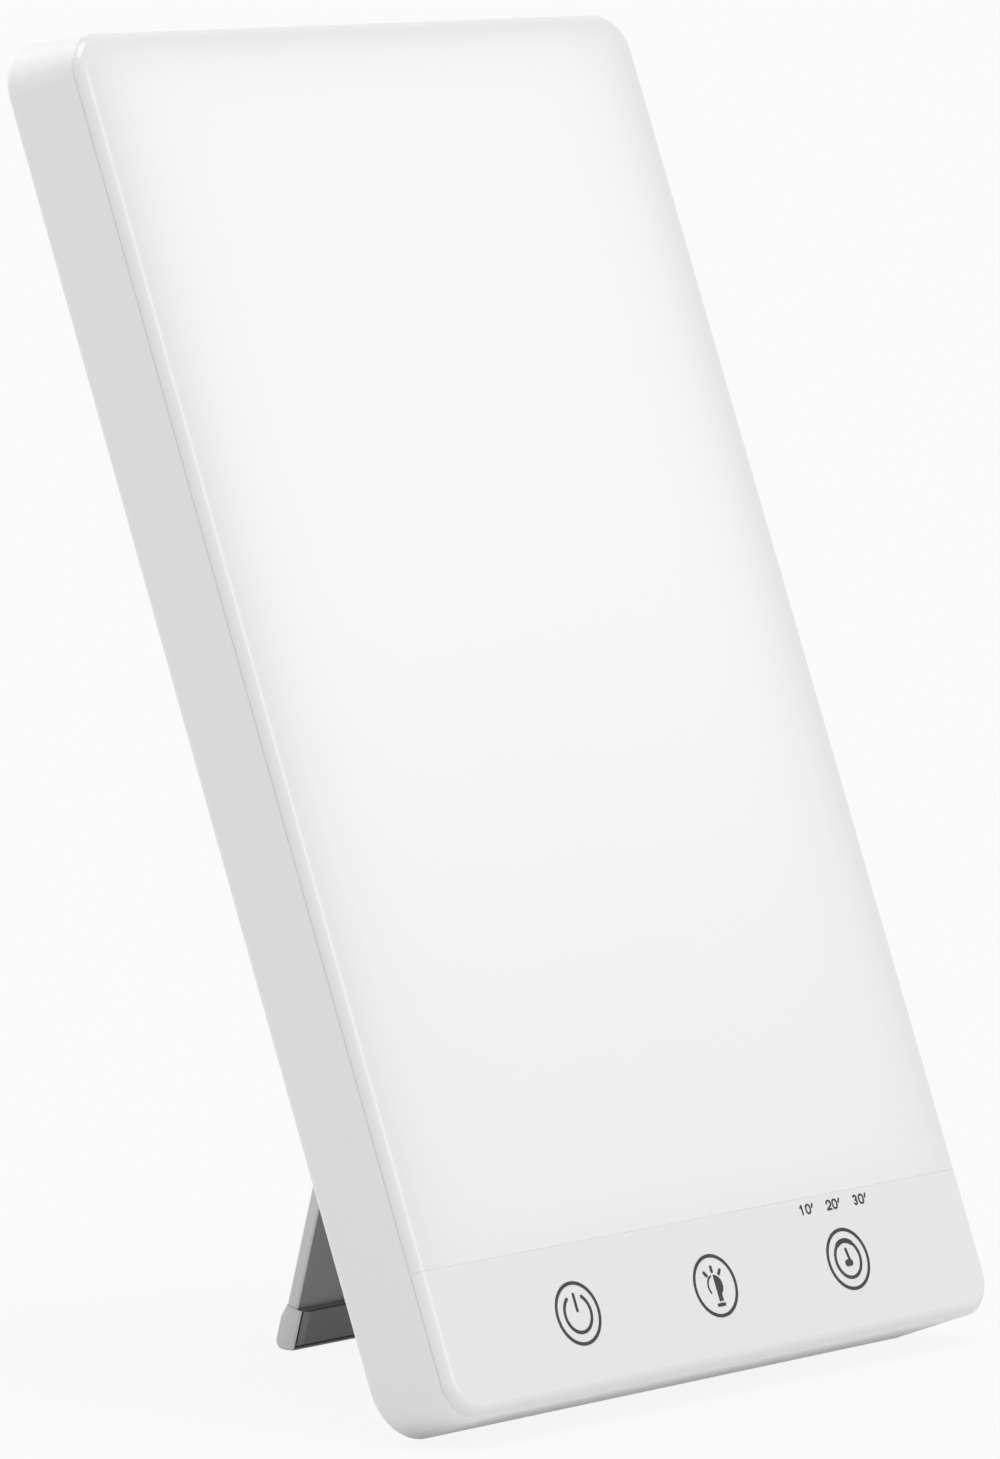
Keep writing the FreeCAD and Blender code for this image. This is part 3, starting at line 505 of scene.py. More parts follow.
def green_board(settings):
    """Green solder mask over fine copper tracks."""
    finish = Finish("green_board", settings.board_color, Coat_Weight=0.3, Coat_Roughness=0.12)
    lane = 1.9 * MM
    track_half = 0.2 * MM
    upright, level = [1 - abs(finish.along(way) % lane - lane / 2).ramp(track_half, track_half + 0.08 * MM)
                      for way in (ACROSS, HEIGHT)]
    patch = finish.noise(7 * MM, 0.0).ramp(0.49, 0.5)
    tracks = upright * patch + level * (1 - patch)
    bright = tuple(min(1.0, 2.2 * value) for value in settings.board_color)
    finish.feed("Base Color", finish.blend(tracks, tuple(settings.board_color), bright))
    finish.raise_surface(tracks, 0.03 * MM)
    finish.vary_roughness(finish.noise(4 * MM), 0.24, 0.36)
    return finish


def chip_epoxy():
    """Black moulded epoxy of a circuit's body."""
    finish = Finish("chip_epoxy", (0.013, 0.013, 0.014))
    finish.vary_color(finish.noise(0.8 * MM), 0.2)
    finish.vary_roughness(finish.noise(0.3 * MM), 0.4, 0.6)
    finish.raise_surface(finish.noise(0.1 * MM), 0.005 * MM)
    return finish


def tinned_metal():
    """Dull tin plating of leads and terminals."""
    finish = Finish("tinned_metal", (0.60, 0.60, 0.58), Metallic=1.0)
    finish.vary_color(finish.noise(0.3 * MM, 3.0), 0.08)
    finish.vary_roughness(finish.noise(0.2 * MM), 0.28, 0.46)
    finish.raise_surface(finish.noise(0.08 * MM), 0.003 * MM)
    return finish


def enamelled_copper():
    """Enamelled copper wire of the coil."""
    finish = Finish("enamelled_copper", (0.55, 0.20, 0.07), Metallic=1.0, Coat_Weight=0.5,
                    Coat_Roughness=0.15)
    strands = finish.noise(0.12 * MM, 2.0, stretch=(0.1, 1, 0.1))
    finish.vary_color(strands, 0.12)
    finish.vary_roughness(strands, 0.24, 0.38)
    finish.raise_surface(strands, 0.01 * MM)
    return finish


def capacitor_sleeve():
    """Black shrink sleeve of a capacitor."""
    finish = Finish("capacitor_sleeve", (0.016, 0.017, 0.020), Coat_Weight=0.2, Coat_Roughness=0.2)
    finish.vary_color(finish.noise(1.5 * MM), 0.2)
    finish.vary_roughness(finish.noise(0.5 * MM), 0.3, 0.46)
    finish.raise_surface(finish.noise(0.9 * MM, 3.0), 0.01 * MM)
    return finish


def painted_shade_rubber(settings):
    """Matt finish of the foot's faces and pad, darkened as painted shade, with a fine grain."""
    finish = Finish("painted_shade_rubber", settings.foot_shade_color)
    finish.vary_color(finish.noise(1.6 * MM, 3.0), 0.05)
    finish.vary_roughness(finish.noise(0.5 * MM), 0.56, 0.70)
    finish.raise_surface(finish.noise(0.16 * MM, 3.0), 0.012 * MM)
    return finish


def ferrite():
    """Dark sintered ferrite of the coil."""
    finish = Finish("ferrite", (0.035, 0.035, 0.038))
    finish.vary_color(finish.noise(0.5 * MM, 4.0), 0.35)
    finish.vary_roughness(finish.noise(0.8 * MM), 0.5, 0.7)
    finish.raise_surface(finish.noise(0.15 * MM, 4.0), 0.02 * MM)
    return finish


def drawn_aluminium():
    """Drawn aluminium of the capacitors' cans, streaked along their height."""
    finish = Finish("drawn_aluminium", (0.72, 0.73, 0.74), Metallic=1.0)
    streaks = finish.noise(0.25 * MM, 3.0, stretch=(1, 0.08, 1))
    finish.vary_color(streaks, 0.06)
    finish.vary_roughness(streaks, 0.25, 0.4)
    finish.raise_surface(streaks, 0.003 * MM)
    return finish


def black_socket():
    """Smooth black plastic of the DC socket."""
    finish = Finish("black_socket", (0.016, 0.016, 0.017))
    finish.vary_color(finish.noise(3 * MM), 0.2)
    finish.vary_roughness(finish.noise(1 * MM), 0.26, 0.4)
    finish.raise_surface(finish.noise(0.2 * MM), 0.004 * MM)
    return finish


def nickel():
    """Bright nickel plating of the socket's pin."""
    finish = Finish("nickel", (0.68, 0.65, 0.60), Metallic=1.0)
    rings = finish.noise(0.15 * MM, 2.0, stretch=(1, 0.1, 0.1))
    finish.vary_color(rings, 0.04)
    finish.vary_roughness(rings, 0.14, 0.28)
    finish.raise_surface(rings, 0.002 * MM)
    return finish


def nylon(name):
    """Natural nylon, faintly yellow and a little waxy."""
    finish = Finish(name, (0.72, 0.69, 0.60), Subsurface_Weight=0.15, Subsurface_Scale=0.8 * MM)
    finish.vary_color(finish.noise(2 * MM), 0.03)
    finish.vary_roughness(finish.noise(0.6 * MM), 0.34, 0.48)
    finish.raise_surface(finish.noise(0.2 * MM), 0.003 * MM)
    return finish


def wire_sleeve(name, color):
    """PVC insulation of a wire, with the fine lines of its drawing."""
    finish = Finish(name, color)
    lines = finish.noise(0.12 * MM, 2.0, stretch=(1, 1, 0.1))
    finish.vary_color(finish.noise(1.2 * MM), 0.08)
    finish.vary_roughness(lines, 0.28, 0.42)
    finish.raise_surface(lines, 0.003 * MM)
    return finish


def ground_steel():
    """Ground steel of the hinge pin, with rings from the grinding."""
    finish = Finish("ground_steel", (0.50, 0.50, 0.51), Metallic=1.0)
    rings = finish.noise(0.08 * MM, 2.0, stretch=(1, 0.05, 0.05))
    finish.vary_color(rings, 0.08)
    finish.vary_roughness(rings, 0.18, 0.34)
    finish.raise_surface(rings, 0.002 * MM)
    return finish


# ---------------------------------------------------------------- modelling helpers

def dress(node, finish):
    """Gives a CAD node its finish."""
    slots = NODES[node].material_slots
    for slot in slots:
        slot.material = finish.material
    if not slots:
        NODES[node].data.materials.append(finish.material)


def bake_place(piece):
    """Puts a piece's place, turn and scale into its mesh."""
    bpy.ops.object.select_all(action="DESELECT")
    piece.select_set(True)
    bpy.context.view_layer.objects.active = piece
    bpy.ops.object.transform_apply(location=True, rotation=True, scale=True)


def block(low, high):
    """A block between two corners."""
    bpy.ops.object.select_all(action="DESELECT")
    bpy.ops.mesh.primitive_cube_add(size=1, location=(low + high) / 2)
    piece = bpy.context.object
    piece.scale = high - low
    bake_place(piece)
    return piece


def round_bar(radius, start, end, sides=24):
    """A round bar from one point to another."""
    bpy.ops.object.select_all(action="DESELECT")
    turn = (end - start).to_track_quat("Z", "Y").to_euler()
    bpy.ops.mesh.primitive_cylinder_add(vertices=sides, radius=radius, depth=(end - start).length,
                                        location=(start + end) / 2, rotation=turn)
    piece = bpy.context.object
    bake_place(piece)
    return piece


# The cosine from which two directions count as one, and the angle below which faces shade as one surface.
STRAIGHT = 0.995
SMOOTH_BELOW = math.radians(35)


class Bench:
    """Edit mode on one piece: what is picked there is what the next step shapes."""

    def __init__(self, piece):
        self.piece = piece

    def __enter__(self):
        bpy.ops.object.select_all(action="DESELECT")
        self.piece.select_set(True)
        bpy.context.view_layer.objects.active = self.piece
        bpy.ops.object.mode_set(mode="EDIT")
        return self

    def __exit__(self, kind, error, trace):
        bpy.ops.object.mode_set(mode="OBJECT")

    def pick(self, level, wanted):
        """Picks the faces or edges that pass a test."""
        bpy.ops.mesh.select_mode(type=level)
        bpy.ops.mesh.select_all(action="DESELECT")
        drawn = bmesh.from_edit_mesh(self.piece.data)
        for part in drawn.faces if level == "FACE" else drawn.edges:
            part.select_set(bool(wanted(part)))
        bmesh.update_edit_mesh(self.piece.data)

    def faces(self, wanted):
        """Picks the faces that pass a test."""
        self.pick("FACE", wanted)

    def edges(self, wanted):
        """Picks the edges that pass a test."""
        self.pick("EDGE", wanted)

    def push(self, way):
        """Extrudes what is picked along a vector."""
        bpy.ops.mesh.extrude_region_move(TRANSFORM_OT_translate={"value": way})

    def inset(self, width, depth=0.0):
        """Insets what is picked, and raises it by a depth or sinks it by a negative one."""
        bpy.ops.mesh.inset(thickness=width, depth=depth)

    def bevel(self, width, steps=1):
        """Chamfers what is picked, or rounds it in several steps."""
        bpy.ops.mesh.bevel(offset=width, segments=steps, affect="EDGES")

    def scale(self, *shares):
        """Scales what is picked about its middle."""
        bpy.ops.transform.resize(value=shares)

    def paint(self, slot):
        """Gives what is picked one of the piece's materials."""
        self.piece.active_material_index = slot
        bpy.ops.object.material_slot_assign()


def facing(face, direction):
    """Whether a face looks along a direction."""
    return face.normal.dot(direction) > STRAIGHT


def middle_of(edge):
    """The middle of an edge."""
    return (edge.verts[0].co + edge.verts[1].co) / 2


def runs_along(edge, direction):
    """Whether an edge lies along a direction."""
    return abs((edge.verts[1].co - edge.verts[0].co).normalized().dot(direction)) > STRAIGHT


def turned(steps, sides=32):
    """A round piece about the Y axis, drawn out ring by ring through pairs of depth and radius."""
    start, radius = steps[0]
    bpy.ops.object.select_all(action="DESELECT")
    bpy.ops.mesh.primitive_circle_add(vertices=sides, radius=radius, fill_type="NGON",
                                      location=(0, start, 0), rotation=(math.pi / 2, 0, 0))
    piece = bpy.context.object
    bake_place(piece)
    with Bench(piece) as bench:
        bpy.ops.mesh.select_all(action="SELECT")
        for (before, narrow), (depth, wide) in zip(steps, steps[1:]):
            bench.push((depth - before) * Y_AXIS)
            bench.scale(wide / narrow, 1, wide / narrow)
        bpy.ops.mesh.select_all(action="SELECT")
        bpy.ops.mesh.normals_make_consistent(inside=False)
    return piece


def coat(piece, *finishes):
    """Gives a new piece its materials in order."""
    for finish in finishes:
        piece.data.materials.append(finish.material)
    return piece


def cut_out(piece, tool):
    """Takes one solid away from another."""
    cutter = piece.modifiers.new("cut", "BOOLEAN")
    cutter.operation = "DIFFERENCE"
    cutter.solver = "EXACT"
    cutter.object = tool
    bpy.context.view_layer.objects.active = piece
    bpy.ops.object.modifier_apply(modifier=cutter.name)
    bpy.data.objects.remove(tool)


def seat(low, high, depth):
    """The middle of a box across and up the panel, at a depth."""
    return Vector(((low.x + high.x) / 2, depth, (low.z + high.z) / 2))


def copied(piece, shift, turn=0.0):
    """A copy with its own mesh, turned about the Y axis and then moved."""
    twin = piece.copy()
    twin.data = piece.data.copy()
    bpy.context.collection.objects.link(twin)
    twin.data.transform(Matrix.Translation(shift) @ Matrix.Rotation(turn, 4, "Y"))
    return twin


def joined(pieces):
    """Several pieces made one object."""
    bpy.ops.object.select_all(action="DESELECT")
    for piece in pieces:
        piece.select_set(True)
    bpy.context.view_layer.objects.active = pieces[0]
    bpy.ops.object.join()
    return pieces[0]


def fit(piece, name, node, body="panel", place=PANEL_PLACE):
    """Names a finished piece, sets it in place on its body and lets it stand for a CAD node."""
    piece.name = name
    piece.data.name = name
    piece.matrix_world = place
    bake_place(piece)
    bpy.ops.object.shade_smooth_by_angle(angle=SMOOTH_BELOW)
    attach(piece, body)
    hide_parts(node)


# ---------------------------------------------------------------- LEDs

def led_package(size):
    """One LED with its back at y = 0: body with a clipped corner, sunk gel window and two terminals."""
    half = size / 2
    end = 0.1 * MM
    reach = 3 * end
    tall = 0.36 * size.z
    thick = 0.3 * size.y
    cut_corner = 0.12 * size.z
    wall = 0.13 * size.z
    slope = 0.04 * size.z
    sink = 0.35 * size.y
    dome = 0.08 * size.y
    body = block(Vector((end - half.x, -size.y, -half.z)), Vector((half.x - end, 0, half.z)))
    coat(body, led_body(), led_phosphor())
    with Bench(body) as bench:
        bench.edges(lambda edge: runs_along(edge, Y_AXIS) and min(middle_of(edge).x, middle_of(edge).z) > 0)
        bench.bevel(cut_corner)
        bench.faces(lambda face: facing(face, -Y_AXIS))
        bench.inset(wall)
        bench.inset(slope, -sink)
        bench.paint(1)
        bpy.ops.mesh.poke(offset=dome)
    terminal = block(Vector((half.x - reach, -thick, -tall)), Vector((half.x, 0, tall)))
    coat(terminal, tinned_metal())
    return joined([body, terminal, copied(terminal, Vector((reach - size.x, 0, 0)))])


def led_group(name, node):
    """All the LEDs of a node, each a copy of one package."""
    boxes = solid_boxes(node)
    model = led_package(boxes[0][1] - boxes[0][0])
    copies = [copied(model, seat(low, high, high.y)) for low, high in boxes]
    bpy.data.objects.remove(model)
    fit(joined(copies), name, node)


# ---------------------------------------------------------------- parts of the control board

def capacitor_group(name, node):
    """The capacitors: sleeved can with a crimp near its foot, a rolled rim and a scored aluminium top."""
    boxes = solid_boxes(node)
    size = boxes[0][1] - boxes[0][0]
    radius = size.x / 2
    height = size.y
    top = height - 0.12 * MM
    sleeve_end = height - 0.35 * MM
    crimp = radius - 0.3 * MM
    sleeve = [(0, radius - 0.15 * MM), (0.15 * MM, radius), (0.7 * MM, radius), (0.95 * MM, crimp),
              (1.2 * MM, crimp), (1.45 * MM, radius), (sleeve_end, radius)]
    rim = [(height - 0.1 * MM, radius - 0.12 * MM), (height, radius - 0.35 * MM), (height, radius - 0.7 * MM),
           (top, radius - 0.75 * MM)]
    can = coat(turned(sleeve + rim), capacitor_sleeve(), drawn_aluminium())
    score_length = radius - 1.1 * MM
    score_half = 0.18 * MM
    score_floor = top - 0.1 * MM
    for wide, tall in ((score_length, score_half), (score_half, score_length)):
        cut_out(can, block(Vector((-wide, score_floor, -tall)), Vector((wide, height + MM, tall))))
    with Bench(can) as bench:
        bench.faces(lambda face: face.calc_center_median().y > sleeve_end and face.normal.y > -0.5)
        bench.paint(1)
    copies = [copied(can, seat(low, high, low.y)) for low, high in boxes]
    bpy.data.objects.remove(can)
    fit(joined(copies), name, node)


def coil_base(half, height):
    """Square ferrite base with cut corners and a shallow well round the winding."""
    cut_corner = 1.0 * MM
    rim = 0.25 * MM
    slope = 0.1 * MM
    well_depth = 0.12 * MM
    base = block(Vector((-half, 0, -half)), Vector((half, height, half)))
    with Bench(base) as bench:
        bench.edges(lambda edge: runs_along(edge, Y_AXIS))
        bench.bevel(cut_corner)
        bench.faces(lambda face: facing(face, Y_AXIS))
        bench.inset(rim)
        bench.inset(slope, -well_depth)
    return base


def coil_winding(core, start, end, turns):
    """Copper turns round a core, each a ring that stands out by its wire."""
    pitch = (end - start) / turns
    bulge = core + 0.35 * MM
    steps = [(start / 2, core)]
    for turn in range(turns):
        bottom = start + turn * pitch
        steps += [(bottom + share * pitch, radius)
                  for share, radius in ((0.1, core), (0.3, bulge), (0.7, bulge), (0.9, core))]
    return turned(steps)


def power_coil(name, node, shapes):
    """Square power coil: ferrite base, copper turns and a round ferrite lid with a shallow dish."""
    low, high = solid_boxes(node)[0]
    half = (high.x - low.x) / 2
    height = high.y - low.y
    base_height = 1.0 * MM
    lid_start = height - 0.9 * MM
    core = half - 1.6 * MM
    lid = half - 0.5 * MM
    rounding = 0.2 * MM
    dark = ferrite()
    base = coat(coil_base(half, base_height), dark)
    winding = coat(coil_winding(core, base_height, lid_start, shapes.coil_turns), enamelled_copper())
    cap = coat(turned([(lid_start, core - 0.3 * MM), (lid_start, lid - rounding), (lid_start + rounding, lid),
                       (height - rounding, lid), (height, lid - rounding), (height, core),
                       (height - 0.15 * MM, core - 0.1 * MM)]), dark)
    piece = joined([base, winding, cap])
    piece.data.transform(Matrix.Translation(seat(low, high, low.y)))
    fit(piece, name, node)


def circuit_body(length, width, height):
    """Moulded body of a circuit, just off the board at y = 0, with a dimple by its first lead."""
    lift = 0.1 * MM
    chamfer = 0.2 * MM
    inset = 0.75 * MM
    dimple_radius = 0.3 * MM
    dimple_depth = 0.12 * MM
    body = block(Vector((-length / 2, lift, -width / 2)), Vector((length / 2, height, width / 2)))
    with Bench(body) as bench:
        bench.edges(lambda edge: not runs_along(edge, Y_AXIS))
        bench.bevel(chamfer)
    spot = Vector((inset - length / 2, height, inset - width / 2))
    cut_out(body, round_bar(dimple_radius, spot - dimple_depth * Y_AXIS, spot + MM * Y_AXIS, 16))
    return body


def gull_lead(width, reach, rise):
    """One bent lead that leaves a circuit's side towards +Z and lands on the board at y = 0."""
    thick = 0.2 * MM
    root = 0.3 * MM
    bend = 0.45 * reach
    half = width / 2
    return joined([
        block(Vector((-half, rise - thick, -root)), Vector((half, rise, bend))),
        block(Vector((-half, 0, bend - thick)), Vector((half, rise, bend))),
        block(Vector((-half, 0, bend - thick)), Vector((half, thick, reach))),
    ])


def circuit(name, node, shapes):
    """A circuit: its body and two rows of bent leads."""
    low, high = solid_boxes(node)[0]
    size = high - low
    width = size.z - 2 * shapes.lead_reach
    count = round(size.x / shapes.lead_pitch)
    body = coat(circuit_body(size.x, width, size.y), chip_epoxy())
    lead = coat(gull_lead(0.4 * shapes.lead_pitch, shapes.lead_reach, size.y / 2), tinned_metal())
    leads = []
    for index in range(count):
        x = (index - (count - 1) / 2) * shapes.lead_pitch
        leads.append(copied(lead, Vector((x, 0, width / 2))))
        leads.append(copied(lead, Vector((x, 0, -width / 2)), math.pi))
    bpy.data.objects.remove(lead)
    piece = joined([body] + leads)
    piece.data.transform(Matrix.Translation(seat(low, high, low.y)))
    fit(piece, name, node)


# ---------------------------------------------------------------- plugs of the wires

def wire_end(node, way):
    """Middle of the end of a wire that lies furthest along a direction of the panel's axes."""
    inward = PANEL_PLACE.inverted()
    points = [inward @ vertex.co for vertex in NODES[node].data.vertices]
    limit = max(point.dot(way) for point in points)
    low, high = box_of([point for point in points if point.dot(way) > limit - HAIR])
    return (low + high) / 2


def wire_plug(low, high, way):
    """Housing of a two-way plug: rounded edges, a hole round each wire and a window over each contact."""
    rounding = 0.35 * MM
    hole_radius = 0.8 * MM
    window_half = Vector((0.5 * MM, 0.5 * MM, 1.2 * MM))
    shell = block(low, high)
    with Bench(shell) as bench:
        bench.edges(lambda edge: middle_of(edge).y > low.y + HAIR)
        bench.bevel(rounding, 2)
    for wire in ("red_wire", "black_wire"):
        mouth = wire_end(wire, way)
        window = Vector((mouth.x, high.y, (low.z + high.z) / 2))
        cut_out(shell, round_bar(hole_radius, mouth - MM * way, mouth + MM * way))
        cut_out(shell, block(window - window_half, window + window_half))
    return shell


def plug_group(name, node):
    """The plugs at the lower and the upper end of the wires."""
    lower, upper = solid_boxes(node)
    plugs = joined([wire_plug(*lower, -Z_AXIS), wire_plug(*upper, Z_AXIS)])
    fit(coat(plugs, nylon("plug_nylon")), name, node)


# ---------------------------------------------------------------- foot of the stand

def foot_shell(low, high, ground, up, shapes):
    """The foot's shell on the stand's axes: flat sole, round heel and toe, and a sunk front for the pad."""
    tilt = LEG_UP.angle(Z_AXIS)
    spare = 3 * MM
    rim = 0.06 * MM
    side_rounding = 0.35 * MM
    groove_depth = 0.7 * MM
    # The block starts below the ground, so that the ground's own plane cuts the sole.
    shell = block(low - spare * Z_AXIS, high)
    with Bench(shell) as bench:
        bpy.ops.mesh.select_all(action="SELECT")
        bpy.ops.mesh.bisect(plane_co=ground, plane_no=up, use_fill=True, clear_inner=True)
        for side, radius, steps in ((1, shapes.heel_radius, 6), (-1, shapes.toe_radius, 4)):
            corner = math.pi / 2 - side * tilt
            bench.edges(lambda edge: runs_along(edge, X_AXIS) and side * middle_of(edge).y > 0
                        and middle_of(edge).z < high.z - spare)
            bench.bevel(radius / math.tan(corner / 2), steps)
        bpy.ops.mesh.select_all(action="SELECT")
        bpy.ops.mesh.bisect(plane_co=high - shapes.shoulder_height * Z_AXIS, plane_no=Z_AXIS)
        bench.edges(lambda edge: runs_along(edge, X_AXIS) and middle_of(edge).y > 0
                    and middle_of(edge).z > high.z - HAIR)
        bpy.ops.transform.translate(value=-shapes.shoulder_depth * Y_AXIS)
        bench.edges(lambda edge: abs(middle_of(edge).x) > high.x - HAIR and middle_of(edge).z < high.z - HAIR)
        bench.bevel(side_rounding, 3)
        bench.faces(lambda face: facing(face, -Y_AXIS))
        bench.inset(rim)
        bench.inset(rim / 2, -groove_depth)
    return shell


def foot_pad(low, high):
    """Pad in the foot's front, with a chamfered ledge all round and a sloping strip along each side."""
    strip = 1.4 * MM
    slope = 0.3 * MM
    chamfer = 0.2 * MM
    pad = block(low + slope * Y_AXIS, high)
    tall = high.z - low.z
    with Bench(pad) as bench:
        bench.faces(lambda face: facing(face, -Y_AXIS))
        bench.inset(strip, slope)
        bench.scale(1, 1, (tall - 2 * chamfer) / (tall - 2 * strip))
    return pad


def leg_socket(top):
    """The room in the foot that the tip of the leg sits in, from a height on the stand's axes."""
    inward = STAND_PLACE.inverted()
    leg = [inward @ vertex.co for vertex in NODES["stand_leg"].data.vertices]
    low, high = box_of([point for point in leg if point.z < top])
    room = Vector((0.1 * MM, 0.1 * MM, 0.1 * MM))
    return block(low - room, high + room + (top - low.z) * Z_AXIS)


def foot(name, node, settings, shapes):
    """The foot: hard plastic at its narrow sides, a matt finish on its faces and pad darkened as painted shade,
    and two sloping strips painted mid grey as painted light and shade.
    """
    inward = STAND_PLACE.inverted()
    ground = inward @ Vector((0, HINGE.y, 0))
    up = inward.to_3x3() @ Z_AXIS
    low, high = solid_boxes(node, STAND_PLACE)[0]
    side_wall = 1.25 * MM
    side_skin = 0.4 * MM
    pad_depth = 0.8 * MM
    gap_above = 0.3 * MM
    gap_below = 0.7 * MM
    # The shell's plastic, the painted-shade grey of the faces and pad, and the mid grey painted on the sloping
    # strips for the light they catch.
    finishes = (moulded_plastic("foot_shell_plastic", settings.edge_color, 0.45), painted_shade_rubber(settings),
                moulded_plastic("foot_strip_painted_shading", settings.stand_shade_color, 0.45))
    shell = coat(foot_shell(low, high, ground, up, shapes), *finishes)
    # Paints all of the shell but its narrow sides in the painted-shade grey.
    with Bench(shell) as bench:
        bench.faces(lambda face: abs(face.calc_center_median().x) < high.x - side_skin)
        bench.paint(1)
    # The height at which the sole meets the foot's front.
    toe = ground.z - (low.y - ground.y) * up.y / up.z
    pad = coat(foot_pad(Vector((low.x + side_wall, low.y, toe + gap_below)),
                        Vector((high.x - side_wall, low.y + pad_depth, high.z - gap_above))), *finishes)
    # The pad gets the painted-shade grey. Its sloping side strips get a lighter painted grey, standing in for the
    # light they catch.
    with Bench(pad) as bench:
        bpy.ops.mesh.select_all(action="SELECT")
        bench.paint(1)
        bench.faces(lambda face: abs(face.normal.x) > 0.1 and face.normal.y < -0.5)
        bench.paint(2)
    cut_out(shell, leg_socket(high.z))
    fit(joined([shell, pad]), name, node, "stand", STAND_PLACE)


# ---------------------------------------------------------------- operators

class LampOperator:
    """What the lamp's operators share."""

    bl_options = {"REGISTER", "UNDO"}


class LAMP_OT_front_sheet(LampOperator, bpy.types.Operator):
    """Finish the milky front sheet"""
    bl_idname = "lamp.front_sheet"
    bl_label = "Front sheet"

    def execute(self, context):
        """Dresses the glowing sheet."""
        dress("front_diffuser", milky_sheet(context.scene.lamp_finishes))
        return {"FINISHED"}


class LAMP_OT_case(LampOperator, bpy.types.Operator):
    """Finish the rear case and the control strip"""
    bl_idname = "lamp.case"
    bl_label = "Case and strip"

    def execute(self, context):
        """Dresses the white shell."""
        settings = context.scene.lamp_finishes
        strip = moulded_plastic("strip_plastic", settings.strip_color, 0.24, 0.5 * MM, 0.001 * MM)
        dress("rear_case", moulded_plastic("shell_plastic", settings.shell_color, 0.42))
        dress("control_panel", strip)
        return {"FINISHED"}


class LAMP_OT_icons(LampOperator, bpy.types.Operator):
    """Finish the printed icons and timer numbers"""
    bl_idname = "lamp.icons"
    bl_label = "Icons"

    def execute(self, context):
        """Dresses the printed marks."""
        ink = printed_ink(context.scene.lamp_finishes)
        for node in ("power_icon", "brightness_icon", "timer_icon", "time_numbers"):
            dress(node, ink)
        return {"FINISHED"}


class LAMP_OT_light_box(LampOperator, bpy.types.Operator):
    """Make the LEDs and finish the rest of the light box"""
    bl_idname = "lamp.light_box"
    bl_label = "Light box"

    def execute(self, context):
        """Makes what lies behind the front sheet."""
        dress("diffuser_film", frosted_film())
        dress("reflector_frame", reflector_white())
        dress("led_board", led_board_mask())
        dress("light_barrier", black_foam())
        led_group("led_packages", "led_chips")
        return {"FINISHED"}


class LAMP_OT_control_board(LampOperator, bpy.types.Operator):
    """Finish the control board and make what is soldered on it"""
    bl_idname = "lamp.control_board"
    bl_label = "Control board"

    def execute(self, context):
        """Makes what lies behind the strip."""
        shapes = context.scene.lamp_shapes
        dress("control_board", green_board(context.scene.lamp_finishes))
        dress("touch_pads", pad_foam())
        led_group("indicator_packages", "indicator_leds")
        circuit("touch_circuit", "touch_chip", shapes)
        circuit("driver_circuit", "driver_chip", shapes)
        power_coil("power_coil", "power_inductor", shapes)
        capacitor_group("capacitor_cans", "capacitors")
        return {"FINISHED"}


class LAMP_OT_fasteners(LampOperator, bpy.types.Operator):
    """Finish the screws of both boards"""
    bl_idname = "lamp.fasteners"
    bl_label = "Screws"

    def execute(self, context):
        """Dresses the small screws."""
        steel = zinc_steel()
        dress("board_screws", steel)
        dress("control_screws", steel)
        return {"FINISHED"}


class LAMP_OT_wiring(LampOperator, bpy.types.Operator):
    """Finish the DC socket, its pin and the wires, and make their plugs"""
    bl_idname = "lamp.wiring"
    bl_label = "Socket and wires"

    def execute(self, context):
        """Makes what carries the current."""
        dress("dc_jack", black_socket())
        dress("dc_jack_pin", nickel())
        plug_group("plug_housings", "wire_plugs")
        dress("red_wire", wire_sleeve("red_sleeve", (0.42, 0.012, 0.010)))
        dress("black_wire", wire_sleeve("black_sleeve", (0.014, 0.014, 0.015)))
        return {"FINISHED"}


class LAMP_OT_stand(LampOperator, bpy.types.Operator):
    """Finish the fold-out leg and its hinge, and make the foot"""
    bl_idname = "lamp.stand"
    bl_label = "Stand"

    def execute(self, context):
        """Makes the leg's foot and dresses the hinge."""
        settings = context.scene.lamp_finishes
        # The leg's broad faces get the darker painted-shade grey and its narrow sides the lit grey.
        dress("stand_leg", painted_shade_plastic("stand_plastic", settings.stand_shade_color, settings.edge_color, 0.45))
        foot("foot", "stand_foot", settings, context.scene.lamp_shapes)
        dress("hinge_pin", ground_steel())
        dress("friction_washers", nylon("washer_nylon"))
        return {"FINISHED"}


# ---------------------------------------------------------------- stage

def floor_material(stage):
    """Floor that keeps a soft shadow and otherwise shows as an even pale ground."""
    finish = Finish("studio_floor", stage.floor_color)
    bounce = finish.node("ShaderNodeBsdfDiffuse", grey(stage.floor_bounce))
    even = finish.node("ShaderNodeEmission", finish.color)
    lit = finish.node("ShaderNodeBsdfDiffuse", finish.color)
    shown = finish.node("ShaderNodeMixShader", stage.shadow_share, even, lit)
    finish.show(finish.node("ShaderNodeMixShader", finish.looked_at(), bounce, shown))
    return finish.material


def add_floor(stage):
    """Wide round floor under the lamp."""
    bpy.ops.object.select_all(action="DESELECT")
    bpy.ops.mesh.primitive_circle_add(vertices=96, radius=stage.floor_radius, fill_type="NGON",
                                      location=(0, 0, 0))
    floor = bpy.context.object
    floor.name = "studio_floor"
    floor.data.materials.append(floor_material(stage))


